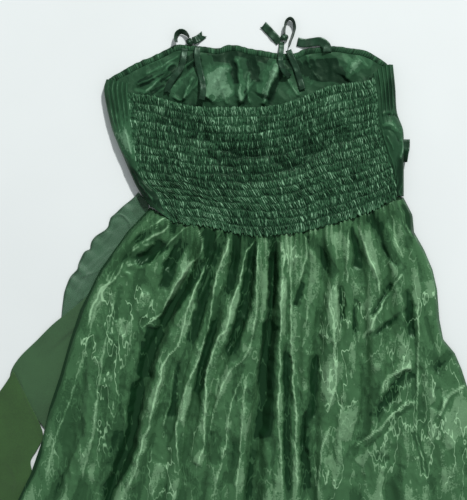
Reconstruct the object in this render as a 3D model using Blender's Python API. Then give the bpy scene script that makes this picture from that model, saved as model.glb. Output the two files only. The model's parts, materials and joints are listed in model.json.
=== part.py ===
"""Party dress laid flat with its back upwards, each cut piece a thin closed wall of cloth.

The origin is on the surface below the middle of the back waist. +Y points to the neckline, +Z up.
Tables and sizes are in millimetres; objects are made in metres.
"""

import math

import bpy
import bmesh
import numpy as np
from mathutils import Vector
from mathutils.bvhtree import BVHTree

MM = 0.001

# Cloth and clearances
CLOTH = 1.5
SIDE_CLOTH = 1.2
LAYER_CLOTH = 1.2
LINING_CLOTH = 1.1
LAYER_GAP = 0.35
SEAM_GAP = 0.6

# Shirred back
GATHERS = 52
ELASTIC_ROWS = 16
PANEL_WALL = 2.0
STITCH_DROP = 0.6
GATHER_CREST = 1.5
GATHER_DIP = 0.2
GATHER_UNEVEN = 0.25
INNER_COLUMNS = 28
INNER_ROWS = 12
SEAM_HEIGHT = 18.0
SEAM_FALL = 1.5
SEAM_START_LEFT = 0.066
SEAM_START_RIGHT = 0.026
NECK_EDGE_RISE = 5.0
SAG_DEPTH = 3.2
SAG_WIDTH = 14.0

# Bodice front
CASING_WIDTH = 9.0
CASING_HEIGHT = 2.7
CASING_SWELL = 0.5
CASING_PINCH = 0.3
CASING_RIM = 0.05
CASING_RIM_HEIGHT = 0.8
CASING_FOLD = 0.92
CASING_GATHERS = 34
FRONT_CLEARANCE = 2.4
FRONT_TOP_GAP = 0.96
FRONT_DROP_LEFT = 4.0
FRONT_DROP_RIGHT = 10.0
FRONT_FLANK_LEFT_Y = 12.0
FRONT_FLANK_RIGHT_Y = 20.0
LINING_TUCK = 32.0
LINING_LEFT = ((-178, 197), (-170, 176), (-160, 150))
LINING_RIGHT = ((151, 213), (146, 190), (140, 165))
LINING_EDGE_DROP = 1.0
LINING_EDGE_SLOPE = 0.9
COVERED_SHARE = 0.12
COVER_REACH = 24.0
COVER_FADE = 26.0

# Skirt
WAIST_CREST = 18.2
WAIST_DIP = 15.2
EDGE_CREST = 11.5
FALL_RATE = 1.1
LEFT_LIP = 4.3
LIP_FADE = 70.0
FRONT_INSET_LEFT = 30.0
FRONT_INSET_RIGHT = 8.0
HEM_SWEEP = 32.0
FRONT_WAIST_Y = -8.0
FRONT_ROWS = (1, 2, 3, 4, 5, 5.25, 5.5, 5.75, 6)
FRONT_COLUMNS = 6
FRONT_HEM_COLUMNS = 16
LAST_FREE_Y = -740.0

# Ribbons
RIBBON_WIDTH = 9.0
TAIL_WIDTH = 8.0
RIBBON_THICK = 1.2
KNOT_SIZE = (9.5, 9.0, 5.6)

# Outlines, as seen from above: x, y
SEAM_LEFT = ((-172, 192), (-172, 178), (-170, 161), (-168, 134), (-165, 110), (-162, 94),
             (-158, 75), (-147, 61), (-134, 48), (-127, 31), (-118, 16.2))
SEAM_RIGHT = ((147, 204), (151, 185), (153, 164), (154, 150), (156, 134), (162, 114),
              (167, 96), (173, 78), (177, 62), (178, 46.4))
EDGE_LEFT = ((-200, 198), (-203, 185), (-199, 161), (-192, 133), (-183, 110), (-176, 94),
             (-168, 75), (-161, 60), (-153, 47), (-146, 38), (-142.5, 32.8))
EDGE_RIGHT = ((173, 217), (176, 187), (177, 166), (179, 152), (186, 133), (187, 113),
              (187, 94), (187, 74), (187, 58), (187, 46.4))
BACK_NECK = ((-170.5, 180), (-135, 174), (-104, 165), (-72, 160), (-31, 160), (-1, 160),
             (27, 164), (56, 174), (84, 186), (114, 191), (140, 195), (148.5, 200))
WAIST = ((-143, 32), (-133, 24), (-118, 15.5), (-95, 11), (-66, 8.5), (-36, 0.5), (-1, -3.5),
         (27, -2), (56, 2), (84, 9.5), (114, 17.5), (143, 28), (166, 39.5), (178, 45.5),
         (187, 45.5))
FRONT_NECK = ((-190, 205), (-182, 209), (-159, 222), (-133, 233), (-116, 242), (-104, 245),
              (-72, 242), (-55, 240), (-43, 244), (-29, 244), (-13, 240), (4, 237), (21, 234),
              (44, 233), (58, 239), (79, 242), (100, 243), (120, 240), (138, 237), (155, 228),
              (163, 221))
SKIRT_LEFT = ((-143, 32), (-173, 0), (-208, -49), (-234, -101), (-247, -140), (-260, -186),
              (-273, -225), (-283, -270), (-299, -316), (-315, -348), (-398, -634),
              (-503, -965))
SKIRT_RIGHT = ((187, 45.5), (199, 22), (201, 0), (214, -23), (225, -49), (231, -75),
               (234, -114), (239, -140), (254, -158), (263, -179), (313, -335), (403, -634),
               (512, -960))

# Side panels, one row for each station from neck to waist: rise of the upper face over the
# line from edge to seam, pleat height
SIDE_LEFT_FORM = ((0.0, 1.2), (0.5, 1.3), (0.8, 1.2), (1.2, 0.7), (1.6, 0.1), (1.2, 0.0),
                  (0.4, 0.0), (-0.8, 0.0), (0.8, 0.0), (0.4, 0.0), (0.0, 0.0))
SIDE_RIGHT_FORM = ((0.0, 1.1), (0.4, 1.1), (0.8, 1.0), (2.0, 0.6), (3.6, 0.0), (3.4, 0.0),
                   (2.2, 0.0), (-0.6, 0.0), (-0.4, 0.0), (0.0, 0.0))
SIDE_PLEATS = 5
SIDE_STATIONS = 13
SIDE_ARCH = 3.0
# Its cross-section below the pleats, distance in from the edge and height, and the shoulder
# that the pleats start from
SIDE_UNDERLAP = 12.0
SIDE_PROFILE = ((SIDE_UNDERLAP, 0.0), (3.0, 0.0), (0.4, 3.2), (0.0, 8.0))
SIDE_SHOULDER = (1.6, 12.4)

# Sags across the shirred back, each a line of x, y
SAGS = (((-78, 127), (-46, 107), (-13, 99), (27, 101), (79, 116), (110, 120)),
        ((-58, 94), (-13, 70), (39, 81), (78, 107)))

# Crumples of the front's inside: start x, y, end x, y, height, half width
CRUMPLES = ((-72, 217, -34, 168, 7.5, 15), (-30, 224, -29, 165, 8.0, 7),
            (6, 178, 22, 217, 12.0, 9), (-6, 198, -26, 172, 5.0, 7),
            (-162, 191, -110, 221, 6.0, 8), (-124, 198, -78, 230, 5.5, 8),
            (-99, 174, -86, 204, 6.0, 8), (110, 230, 150, 200, 6.5, 12),
            (60, 232, 78, 196, 5.5, 8), (90, 192, 112, 216, 4.5, 9))

# Skirt folds from left to right. Columns: x of the crest at the waist and at the five levels
# below it, height of the crest, height of the valley to its right
FOLD_LEVELS = (-49.0, -114.0, -179.0, -257.0, -335.0)
HEM_LEVEL = -965.0
FOLDS = (
    (-134, -197, -224, -246, -266, -285, 11.0, 5.8),
    (-121, -172, -195, -214, -222, -245, 15.0, 6.0),
    (-105, -140, -162, -185, -194, -224, 14.0, 8.0),
    (-86, -103, -140, -166, -178, -205, 13.0, 3.7),
    (-66, -78, -104, -128, -147, -178, 19.0, 7.0),
    (-51, -64, -89, -110, -126, -142, 15.0, 7.5),
    (-36, -50, -68, -86, -105, -112, 17.0, 4.6),
    (-18, -24, -42, -67, -77, -85, 17.0, 5.0),
    (-3, -4, -10, -39, -57, -64, 20.0, 8.5),
    (12, 10, 4, -14, -30, -40, 15.0, 3.7),
    (32, 27, 27, 24, 24, 26, 20.0, 5.2),
    (48, 49, 43, 41, 45, 47, 15.0, 7.5),
    (66, 72, 61, 58, 63, 62, 15.0, 5.0),
    (88, 96, 92, 92, 83, 78, 22.0, 4.6),
    (110, 116, 116, 118, 108, 101, 16.0, 5.2),
    (131, 147, 148, 151, 151, 142, 20.0, 4.6),
    (153, 178, 184, 187, 191, 196, 17.0, 6.0),
    (167, 199, 208, 221, 238, 258, 15.0, 6.5),
    (178, 213, 222, 246, 272, 298, 11.0, 5.0),
)
CREST_SHARE = 0.22
CREST_UNEVEN = 0.12
CREST_LEAN = 0.05
VALLEY_SHARE = 0.11
VALLEY_PLACE = 0.52
VALLEY_DRIFT = 0.06
FOLD_UNEVEN = 0.3
EDGE_SHARE = 1.6
EVEN_AT_HEM = 0.65
HEM_MARGIN = 0.55
# How fast each measure wanders from fold to fold and from level to level
HEIGHT_WANDER = (2.4, 1.3)
LEFT_WANDER = (2.1, 0.9)
RIGHT_WANDER = (1.3, -1.1)
LEAN_WANDER = (3.1, 0.0)
VALLEY_WANDER = (1.9, 0.0)
GATHER_WANDER = (2.3, 5.1)
# Rolls at the skirt's two sides: x from the side, height, from the lip at the left
LEFT_ROLL = ((1.2, 0.0), (0.0, 3.0), (3.5, 5.6))
RIGHT_ROLL = ((-3.0, 8.6), (0.0, 5.0), (-0.6, 0.0))
# Rows of the skirt: 0 is the waist, 1 to 5 the levels above, 6 the hem
SKIRT_ROWS = (0.0, 0.3, 0.65, 1.0, 1.5, 2.0, 3.0, 4.0, 5.0, 5.25, 5.6, 6.0)

# Layers that show at the left, beneath the skirt: free edge and hidden edge, x, y
RUFFLE_FREE = ((-164, 44), (-176, 36), (-188, 25), (-195, 18), (-198, 8), (-203, 2), (-214, -5),
               (-220, -13), (-222, -22), (-229, -26), (-236, -39), (-238, -48), (-247, -58),
               (-254, -74), (-257, -91), (-259, -110))
RUFFLE_HIDDEN = ((-151.4, 41), (-149.5, 33), (-153, 13), (-167, -14), (-187, -50), (-215, -98), (-249, -126))
RUFFLE_WAVES = 10
RUFFLE_RISE = 5.0
RUFFLE_FLAT_SHARE = 0.62
RUFFLE_END_SHARE = 0.92
UPPER_FREE = ((-185, -36), (-205, -62), (-228, -86), (-260, -112), (-272, -122), (-290, -140),
              (-315, -165), (-326, -186))
UPPER_HIDDEN = ((-178, -42), (-189, -60), (-213, -108), (-231, -153), (-244, -199),
                (-257, -238), (-268, -262))
LOWER_FREE = ((-322, -182), (-338, -206), (-377, -257), (-396, -322), (-416, -426),
              (-432, -530), (-436, -608), (-423, -664))
LOWER_HIDDEN = ((-320, -184), (-303, -224), (-287, -260), (-295, -281), (-303, -299),
                (-296, -320), (-301, -348), (-319, -426), (-350, -530), (-400, -664))
# The upper layer passes over the lower one as far as this share of its length
OVERLAY_LIFT = 1.9
OVERLAP = 20.0
OVERLAP_SLOPE = 6.0
UPPER_OVER_SHARE = 0.66
LOWER_OVER_SHARE = 0.34
LOWER_CORNER_SHARE = 0.16

# Ribbon routes: x, y, lean in degrees (0 lies flat, 90 stands on its edge)
LEFT_KNOT = (-91, 248.3)
CENTER_KNOT = (32, 254)
RIBBONS = {
    "bow_left_loop": (RIBBON_WIDTH, ((-92.3, 253.4, 90), (-96, 258.5, 90), (-102.5, 261.5, 90),
                                     (-108, 258.5, 90), (-109.5, 252, 90), (-109, 247, 90))),
    "bow_left_end": (RIBBON_WIDTH, ((-86.7, 250.4, 0), (-78, 254, 0), (-70, 255, 0))),
    "bow_left_tail_inner": (TAIL_WIDTH, ((-85.5, 239, 0), (-83, 230, 0), (-81, 221, 0),
                                         (-78, 208, 0), (-75, 195, 0), (-74, 182, 0),
                                         (-76, 171, 0))),
    "bow_left_tail_outer": (TAIL_WIDTH, ((-98, 239, 0), (-99.5, 226, 0), (-103, 213, 0),
                                         (-112, 201, 0), (-119, 189, 0), (-121, 180, 0))),
    "bow_center_loop": (RIBBON_WIDTH, ((36.5, 241, 90), (40, 248, 90), (43.5, 257, 90),
                                       (46, 266, 90), (44, 275, 90), (38, 279.5, 90),
                                       (32.5, 276, 90), (31, 268, 90), (31.8, 259.1, 90))),
    "bow_center_end": (RIBBON_WIDTH, ((26.0, 249.4, 0), (18.5, 252.5, 0), (10.5, 259, 0),
                                      (4, 271, 0))),
    "bow_center_tail_left": (TAIL_WIDTH, ((32, 248.9, 0), (27.5, 236, 0), (25.5, 219, 0),
                                          (31, 209, 0), (39, 202, 0))),
    "bow_center_tail_right": (TAIL_WIDTH, ((37, 237, 0), (41, 227, 0), (47, 214, 0),
                                           (51, 202, 0), (55.5, 185, 0))),
    "strap_right": (RIBBON_WIDTH, ((86, 233, 0), (85.5, 244, 0), (78, 250.5, 0), (67, 248.5, 0),
                                   (57, 248, 0), (48, 250.5, 0))),
    "side_ribbon": (TAIL_WIDTH, ((188, 122, 90), (192, 119.5, 60), (194.6, 115, 15),
                                 (194.8, 108, 0), (193.8, 100, 0), (192.2, 92, 0))),
}
RIBBON_STEP = 5.0

# Colours: red, green, blue, roughness
SATIN = (0.035, 0.130, 0.055, 0.32)
SATIN_LINING = (0.045, 0.155, 0.068, 0.36)
SMOCKED = (0.028, 0.110, 0.045, 0.42)
ORGANZA = (0.060, 0.130, 0.070, 0.60)
CREPE = (0.036, 0.090, 0.036, 0.75)
RIBBON = (0.014, 0.050, 0.024, 0.38)


def clear_scene():
    """Takes away what the file opened with."""
    for thing in list(bpy.data.objects):
        bpy.data.objects.remove(thing, do_unlink=True)


def cloth_material(name, look):
    """A plain Principled cloth of the piece's colour."""
    material = bpy.data.materials.new(name)
    material.use_nodes = True
    shader = material.node_tree.nodes["Principled BSDF"]
    red, green, blue, roughness = look
    shader.inputs["Base Color"].default_value = (red, green, blue, 1.0)
    shader.inputs["Roughness"].default_value = roughness
    shader.inputs["Metallic"].default_value = 0.0
    material.diffuse_color = (red, green, blue, 1.0)
    return material


def ease(value):
    """0 to 1 with a soft start and end."""
    value = min(1.0, max(0.0, value))
    return value * value * (3.0 - 2.0 * value)


def curve(points):
    """A smooth curve through the points, read by the share of its length."""
    through_points = np.array(points, float)
    first = 2 * through_points[0] - through_points[1]
    last = 2 * through_points[-1] - through_points[-2]
    knots = np.vstack([first, through_points, last])
    dense = []
    for a, b, c, d in zip(knots, knots[1:], knots[2:], knots[3:]):
        for t in np.linspace(0, 1, 12, endpoint=False):
            dense.append(0.5 * (2 * b + (c - a) * t + (2 * a - 5 * b + 4 * c - d) * t ** 2
                                + (3 * b - a - 3 * c + d) * t ** 3))
    dense.append(through_points[-1])
    dense = np.array(dense)
    steps = np.linalg.norm(np.diff(dense, axis=0), axis=1)
    share = np.concatenate([[0.0], np.cumsum(steps)]) / steps.sum()
    return lambda t: np.array([np.interp(t, share, column) for column in dense.T])


def station_line(points):
    """The same curve as straight runs between the stations that panels share at a seam."""
    line = curve(points)
    places = np.linspace(0, 1, SIDE_STATIONS)
    stations = np.array([line(t) for t in places])
    return lambda t: np.array([np.interp(t, places, column) for column in stations.T])


def curve_length(line):
    """Length of a curve made by curve()."""
    points = np.array([line(t) for t in np.linspace(0, 1, 60)])
    return np.linalg.norm(np.diff(points, axis=0), axis=1).sum()


def table_value(places, values, at):
    """A smooth value between the rows of a table whose places rise."""
    slope = np.gradient(values, places)
    row = int(np.clip(np.searchsorted(places, at) - 1, 0, len(places) - 2))
    span = places[row + 1] - places[row]
    t = (min(max(at, places[0]), places[-1]) - places[row]) / span
    return ((2 * t ** 3 - 3 * t ** 2 + 1) * values[row]
            + (t ** 3 - 2 * t ** 2 + t) * span * slope[row]
            + (3 * t ** 2 - 2 * t ** 3) * values[row + 1]
            + (t ** 3 - t ** 2) * span * slope[row + 1])


def outline_x(outline, y):
    """Where an outline that runs down the dress stands at y."""
    falling = np.array(outline, float)[::-1]
    return float(np.interp(y, falling[:, 1], falling[:, 0]))


def outline_y(outline, x):
    """Where an outline that runs across the dress stands at x."""
    across = np.array(outline, float)
    return float(np.interp(x, across[:, 0], across[:, 1]))


def distance_to_line(points, x, y):
    """Shortest distance from x, y to a line of points."""
    best = math.inf
    for (x0, y0), (x1, y1) in zip(points, points[1:]):
        along = np.array([x1 - x0, y1 - y0], float)
        t = np.clip(np.dot([x - x0, y - y0], along) / np.dot(along, along), 0, 1)
        best = min(best, math.hypot(x - x0 - t * along[0], y - y0 - t * along[1]))
    return best


def coons_patch(top, bottom, left, right, u, v):
    """Point u across and v down a patch with four curved sides."""
    across = (1 - v) * top(u) + v * bottom(u)
    down = (1 - u) * left(v) + u * right(v)
    corners = ((1 - u) * (1 - v) * top(0) + u * (1 - v) * top(1)
               + (1 - u) * v * bottom(0) + u * v * bottom(1))
    return across + down - corners


def strip(first, second):
    """Triangles between two rows of points that run the same way, however many each has."""
    faces = []
    i = j = 0
    last_i, last_j = len(first) - 1, len(second) - 1
    while i < last_i or j < last_j:
        if j == last_j or (i < last_i and (i + 1) * last_j <= (j + 1) * last_i):
            faces.append((first[i], first[i + 1], second[j]))
            i += 1
        else:
            faces.append((first[i], second[j + 1], second[j]))
            j += 1
    return faces


def add_object(name, points, faces, look):
    """A closed mesh object with its faces turned outwards."""
    mesh = bpy.data.meshes.new(name)
    mesh.from_pydata([Vector(point) * MM for point in points], [], faces)
    shape = bmesh.new()
    shape.from_mesh(mesh)
    bmesh.ops.recalc_face_normals(shape, faces=shape.faces)
    if shape.calc_volume(signed=True) < 0:
        bmesh.ops.reverse_faces(shape, faces=shape.faces)
    shape.to_mesh(mesh)
    shape.free()
    mesh.shade_smooth()
    mesh.set_sharp_from_angle(angle=math.radians(50))
    thing = bpy.data.objects.new(name, mesh)
    bpy.context.scene.collection.objects.link(thing)
    mesh.materials.append(cloth_material(name, look))
    return thing


def wall(name, face_rows, back_rows, look):
    """A closed wall between two sheets, each a list of rows of points, joined round the rim."""
    points = []

    def number(rows):
        numbered = []
        for row in rows:
            numbered.append(list(range(len(points), len(points) + len(row))))
            points.extend(tuple(map(float, point)) for point in row)
        return numbered

    face, back = number(face_rows), number(back_rows)
    faces = []
    for sheet in (face, back):
        for first, second in zip(sheet, sheet[1:]):
            faces += strip(first, second)
    rims = [(face[0], back[0]), (face[-1], back[-1])]
    rims += [([row[end] for row in face], [row[end] for row in back]) for end in (0, -1)]
    for outer, inner in rims:
        faces += strip(outer, inner)
    return add_object(name, points, faces, look)


def offset_rows(rows, distance, seam_column=None):
    """The same sheet moved off its face by distance, square at its seams and never below 0."""
    grid = np.array(rows, float)
    across = np.gradient(grid, axis=1)
    down = np.gradient(grid, axis=0)
    normal = np.cross(down, across)
    normal /= np.linalg.norm(normal, axis=2, keepdims=True)
    moved = grid - normal * distance
    moved[:, :, 2] = np.maximum(moved[:, :, 2], 0.0)
    for end in (0, -1):
        moved[end, :, 1] = grid[end, :, 1]
    if seam_column is not None:
        moved[:, seam_column, 0] = grid[:, seam_column, 0]
    return moved.tolist()


def lifted(rows, height):
    """The same sheet moved straight up."""
    return [[(x, y, z + height) for x, y, z in row] for row in rows]


def tube(name, rings, look):
    """A closed bar through rings of points, capped at its ends."""
    size = len(rings[0])
    points = [tuple(map(float, point)) for ring in rings for point in ring]
    faces = [tuple(range(size)), tuple(range(len(points) - size, len(points)))]
    for row in range(len(rings) - 1):
        for side in range(size):
            a, b = row * size + side, row * size + (side + 1) % size
            faces.append((a, b, b + size, a + size))
    return add_object(name, points, faces, look)


def wander(pace, place, level):
    """-1 to 1, uneven from fold to fold and from level to level."""
    return math.sin(pace[0] * place + pace[1] * level)


def back_height(x, y, u, v):
    """Height of the smooth back panel: raised at the neck edge, with two sags across it."""
    height = SEAM_HEIGHT - SEAM_FALL * v
    height += NECK_EDGE_RISE * (1 - v) ** 1.4 * math.sin(math.pi * u)
    for line in SAGS:
        sag = SAG_DEPTH * math.exp(-(distance_to_line(line, x, y) / SAG_WIDTH) ** 2)
        height -= sag * ease(6 * min(u, 1 - u, v, 1 - v))
    return height


def back_sides():
    """The four curved sides of the shirred back."""
    left_seam, right_seam = station_line(SEAM_LEFT), station_line(SEAM_RIGHT)
    shift = np.array([SEAM_GAP, 0.0])
    left_top = left_seam(SEAM_START_LEFT) + shift
    right_top = right_seam(SEAM_START_RIGHT) - shift
    top = curve([left_top, *BACK_NECK[1:-1], right_top])

    def left(v):
        return left_seam(SEAM_START_LEFT + (1 - SEAM_START_LEFT) * v) + shift

    def right(v):
        return right_seam(SEAM_START_RIGHT + (1 - SEAM_START_RIGHT) * v) - shift

    corner_left, corner_right = left(1.0), right(1.0)

    def bottom(t):
        x, y = corner_left * (1 - t) + corner_right * t
        at_waist = outline_y(WAIST, x) + SEAM_GAP
        return np.array([x, at_waist if 0 < t < 1 else y])

    return top, bottom, left, right


def make_back():
    """Shirred back: elastic rows pull it down, and gathers stand between them."""
    top, bottom, left, right = back_sides()

    def row_of(v, count, raise_at):
        row = []
        for i in range(count + 1):
            u = i / count
            x, y = coons_patch(top, bottom, left, right, u, v)
            row.append((x, y, back_height(x, y, u, v) + raise_at(i)))
        return row

    face = []
    for band in range(ELASTIC_ROWS + 1):
        v = band / ELASTIC_ROWS
        face.append(row_of(v, GATHERS, lambda i: -STITCH_DROP))
        if band < ELASTIC_ROWS:
            def pucker(i, band=band):
                if i in (0, 2 * GATHERS):
                    return 0.0
                strength = 1 - GATHER_UNEVEN * (1 - wander(GATHER_WANDER, i, band))
                return GATHER_CREST * strength if i % 2 else -GATHER_DIP
            face.append(row_of(v + 0.5 / ELASTIC_ROWS, 2 * GATHERS, pucker))
    back = [row_of(i / INNER_ROWS, INNER_COLUMNS, lambda _: -PANEL_WALL)
            for i in range(INNER_ROWS + 1)]
    wall("back_shirred_panel", face, back, SMOCKED)


def make_side(name, edge, seam, form, inward):
    """Side panel: lies on the floor, turns up round the edge and runs over to the back seam."""
    edge_line, seam_line = station_line(edge), station_line(seam)
    places = np.linspace(0, 1, len(form))
    rises = [row[0] for row in form]
    pleats = [row[1] for row in form]
    rows = []
    for t in np.linspace(0, 1, SIDE_STATIONS):
        start, end = edge_line(t), seam_line(t)
        rise = table_value(places, rises, t)
        pleat = max(0.0, table_value(places, pleats, t))
        level = start[1]
        row = [(start[0] + inward * reach, level, z) for reach, z in SIDE_PROFILE]
        shoulder = np.array([start[0] + inward * SIDE_SHOULDER[0], level, SIDE_SHOULDER[1]])
        finish = np.array([end[0], end[1], SEAM_HEIGHT - SEAM_FALL * t])
        for step in range(2 * SIDE_PLEATS + 1):
            s = step / (2 * SIDE_PLEATS)
            x, y, z = shoulder * (1 - s) + finish * s
            wave = pleat * (1 if step % 2 else -1) * math.sin(math.pi * min(1, s + 0.05))
            row.append((x, y, z + SIDE_ARCH * math.sin(math.pi * s) ** 0.7
                        + rise * math.sin(math.pi * s) + wave))
        rows.append(row)
    seam_column = -1
    if inward < 0:
        rows = [row[::-1] for row in rows]
        seam_column = 0
    wall(name, rows, offset_rows(rows, SIDE_CLOTH, seam_column), SATIN)


def neck_offset(distance, share_from=0.0, share_to=1.0):
    """The front neckline moved down into the dress by distance, as a curve."""
    line = curve(FRONT_NECK)
    points = []
    for t in np.linspace(share_from, share_to, 31):
        before, after = line(max(0, t - 0.02)), line(min(1, t + 0.02))
        along = (after - before) / np.linalg.norm(after - before)
        points.append(line(t) + distance * np.array([along[1], -along[0]]))
    return curve(points)


def make_casing():
    """Gathered elastic casing round the front neckline."""
    rings = []
    outer, inner = neck_offset(0.0), neck_offset(CASING_WIDTH)
    for i in range(2 * CASING_GATHERS + 1):
        t = i / (2 * CASING_GATHERS)
        high = CASING_HEIGHT + (CASING_SWELL if i % 2 else -CASING_PINCH)
        a, b = outer(t), inner(t)
        rim = a * (1 - CASING_RIM) + b * CASING_RIM
        fold = a * (1 - CASING_FOLD) + b * CASING_FOLD
        rings.append([(*a, 0.0), (*rim, high * CASING_RIM_HEIGHT), (*fold, high), (*b, 0.0)])
    tube("neck_casing", rings, SATIN)


def front_patch(name, lower, left, right, columns, below, rows, height, cloth, look):
    """A sheet of the front from the casing down to a lower line, with its own column counts."""
    top = neck_offset(CASING_WIDTH + FRONT_TOP_GAP)
    upper = curve([left[0], *[top(t) for t in np.linspace(0.07, 0.93, 31)], right[0]])
    left_side, right_side, bottom = curve(left), curve(right), curve(lower)
    under = []
    for v in np.linspace(0, 1, rows + 1):
        row = []
        for u in np.linspace(0, 1, (columns if v == 0 else below) + 1):
            x, y = coons_patch(upper, bottom, left_side, right_side, u, v)
            row.append((x, y, height(x, y)))
        under.append(row)
    return wall(name, lifted(under, cloth), under, look)


def on_floor(x, y):
    """Height of a sheet that lies on the floor."""
    return 0.0


def make_front_bodice():
    """Front bodice, flat on the floor between the side panels."""
    inset = SIDE_UNDERLAP + FRONT_CLEARANCE
    left = [(x + inset, y) for x, y in EDGE_LEFT]
    left[0] = (left[0][0], left[0][1] - FRONT_DROP_LEFT)
    left += [(left[-1][0] + 1.0, FRONT_FLANK_LEFT_Y), (left[-1][0] + 1.0, FRONT_WAIST_Y)]
    right = [(x - inset, y) for x, y in EDGE_RIGHT]
    right[0] = (right[0][0], right[0][1] - FRONT_DROP_RIGHT)
    right += [(right[-1][0], FRONT_FLANK_RIGHT_Y), (right[-1][0], FRONT_WAIST_Y)]
    lower = [left[-1], (0, FRONT_WAIST_Y), right[-1]]
    front_patch("front_bodice", lower, left, right, 30, 4, 12, on_floor, CLOTH, SATIN)


def crumple_height(x, y):
    """Height of the crumpled lining over the floor, low where the back covers it."""
    cover = ease((y - outline_y(BACK_NECK, x) + COVER_REACH) / COVER_FADE)
    squares = 0.0
    for x0, y0, x1, y1, rise, half in CRUMPLES:
        distance = distance_to_line(((x0, y0), (x1, y1)), x, y)
        squares += (rise * math.exp(-(distance / half) ** 2)) ** 2
    rise = math.sqrt(squares) * (COVERED_SHARE + (1 - COVERED_SHARE) * cover)
    inside = max(0.0, outline_y(FRONT_NECK, x) - CASING_WIDTH - y)
    most = CASING_HEIGHT - LINING_EDGE_DROP + LINING_EDGE_SLOPE * inside
    return CLOTH + LAYER_GAP + min(rise, most)


def make_lining():
    """Inside of the front, crumpled where it shows above the back's neck edge."""
    tucked = [(x, y - LINING_TUCK) for x, y in BACK_NECK]
    tucked[0], tucked[-1] = LINING_LEFT[-1], LINING_RIGHT[-1]
    return front_patch("front_lining", tucked, LINING_LEFT, LINING_RIGHT, 36, 36, 10,
                       crumple_height, LINING_CLOTH, SATIN_LINING)


def fold_places(level):
    """x of every crest at a row of the skirt, with the row's own edges."""
    y = row_level(level)
    left, right = outline_x(SKIRT_LEFT, y), outline_x(SKIRT_RIGHT, y)
    count = len(FOLDS)
    if level <= 5:
        places = np.arange(6)
        return [table_value(places, np.array(fold[:6], float), level) for fold in FOLDS]
    low_left, low_right = (outline_x(line, FOLD_LEVELS[-1]) for line in (SKIRT_LEFT, SKIRT_RIGHT))
    spread = ease(level - 5) * EVEN_AT_HEM
    crests = []
    for i, fold in enumerate(FOLDS):
        share = (fold[5] - low_left) / (low_right - low_left)
        share += ((i + HEM_MARGIN) / (count - 1 + 2 * HEM_MARGIN) - share) * spread
        crests.append(left + share * (right - left))
    return crests


def row_level(level):
    """y of a row of the skirt at its sides."""
    return float(np.interp(level, range(7), (WAIST[0][1], *FOLD_LEVELS, HEM_LEVEL)))


def skirt_row(level):
    """One row of the skirt's outer face, from the lip at the left to the floor at the right."""
    y_side = row_level(level)
    crests = fold_places(level)
    y_right = y_side + (WAIST[-1][1] - WAIST[0][1]) * max(0.0, 1 - level)
    left, right = outline_x(SKIRT_LEFT, y_side), outline_x(SKIRT_RIGHT, y_right)
    fall = ease(level * FALL_RATE)
    lip = LEFT_LIP * ease((y_side - LAST_FREE_Y) / LIP_FADE)
    row = [(left + x, lip + z) for x, z in LEFT_ROLL]
    roll_left, roll_right = row[-1][0], right + RIGHT_ROLL[0][0]
    for i, (crest, fold) in enumerate(zip(crests, FOLDS)):
        high = WAIST_CREST + (fold[6] - WAIST_CREST) * fall
        dip = WAIST_DIP + (fold[7] - WAIST_DIP) * fall
        first, last = i == 0, i == len(crests) - 1
        before = EDGE_SHARE * (crest - roll_left) if first else crest - crests[i - 1]
        after = EDGE_SHARE * (roll_right - crest) if last else crests[i + 1] - crest
        if first or last:
            high = EDGE_CREST + (high - EDGE_CREST) * fall
        high *= 1 + CREST_UNEVEN * fall * wander(HEIGHT_WANDER, i, level)
        left_share = CREST_SHARE * (1 + FOLD_UNEVEN * wander(LEFT_WANDER, i, level))
        right_share = CREST_SHARE * (1 + FOLD_UNEVEN * wander(RIGHT_WANDER, i, level))
        lean = CREST_LEAN * wander(LEAN_WANDER, i, level)
        row.append((crest - left_share * before, high * (1 - lean)))
        row.append((crest + right_share * after, high * (1 + lean)))
        if not last:
            place = VALLEY_PLACE + VALLEY_DRIFT * wander(VALLEY_WANDER, i, level)
            row.append((crest + (place - VALLEY_SHARE) * after, dip))
            row.append((crest + (place + VALLEY_SHARE) * after, dip))
    row += [(right + x, z) for x, z in RIGHT_ROLL]
    placed = []
    for x, z in row:
        share = (x - left) / (right - left)
        waist_y = outline_y(WAIST, x)
        y = waist_y + (FOLD_LEVELS[0] - waist_y) * level if level < 1 else y_side
        y -= HEM_SWEEP * math.sin(math.pi * share) * max(0.0, level - 5)
        placed.append((x, y, z))
    return placed


def make_skirt():
    """Gathered back of the skirt over the plain front of the skirt."""
    rows = [skirt_row(level) for level in SKIRT_ROWS]
    wall("skirt_back", rows, offset_rows(rows, CLOTH), SATIN)
    floor = []
    for level in FRONT_ROWS:
        y = row_level(level)
        left = outline_x(SKIRT_LEFT, y) + FRONT_INSET_LEFT
        right = outline_x(SKIRT_RIGHT, y) - FRONT_INSET_RIGHT
        sweep = (HEM_SWEEP - 1.0) * max(0.0, level - 5)
        columns = FRONT_HEM_COLUMNS if level == 6 else FRONT_COLUMNS
        floor.append([(x, y - sweep * math.sin(math.pi * i / columns), 0.0)
                      for i, x in enumerate(np.linspace(left, right, columns + 1))])
    waist_left = outline_x(SKIRT_LEFT, FRONT_WAIST_Y) + FRONT_INSET_LEFT
    waist_right = outline_x(SKIRT_RIGHT, FRONT_WAIST_Y) - FRONT_INSET_RIGHT
    seam_y = FRONT_WAIST_Y - SEAM_GAP
    floor.insert(0, [(x, seam_y, 0.0) for x in np.linspace(waist_left, waist_right, FRONT_COLUMNS + 1)])
    wall("skirt_front", lifted(floor, CLOTH), floor, SATIN)


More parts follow.
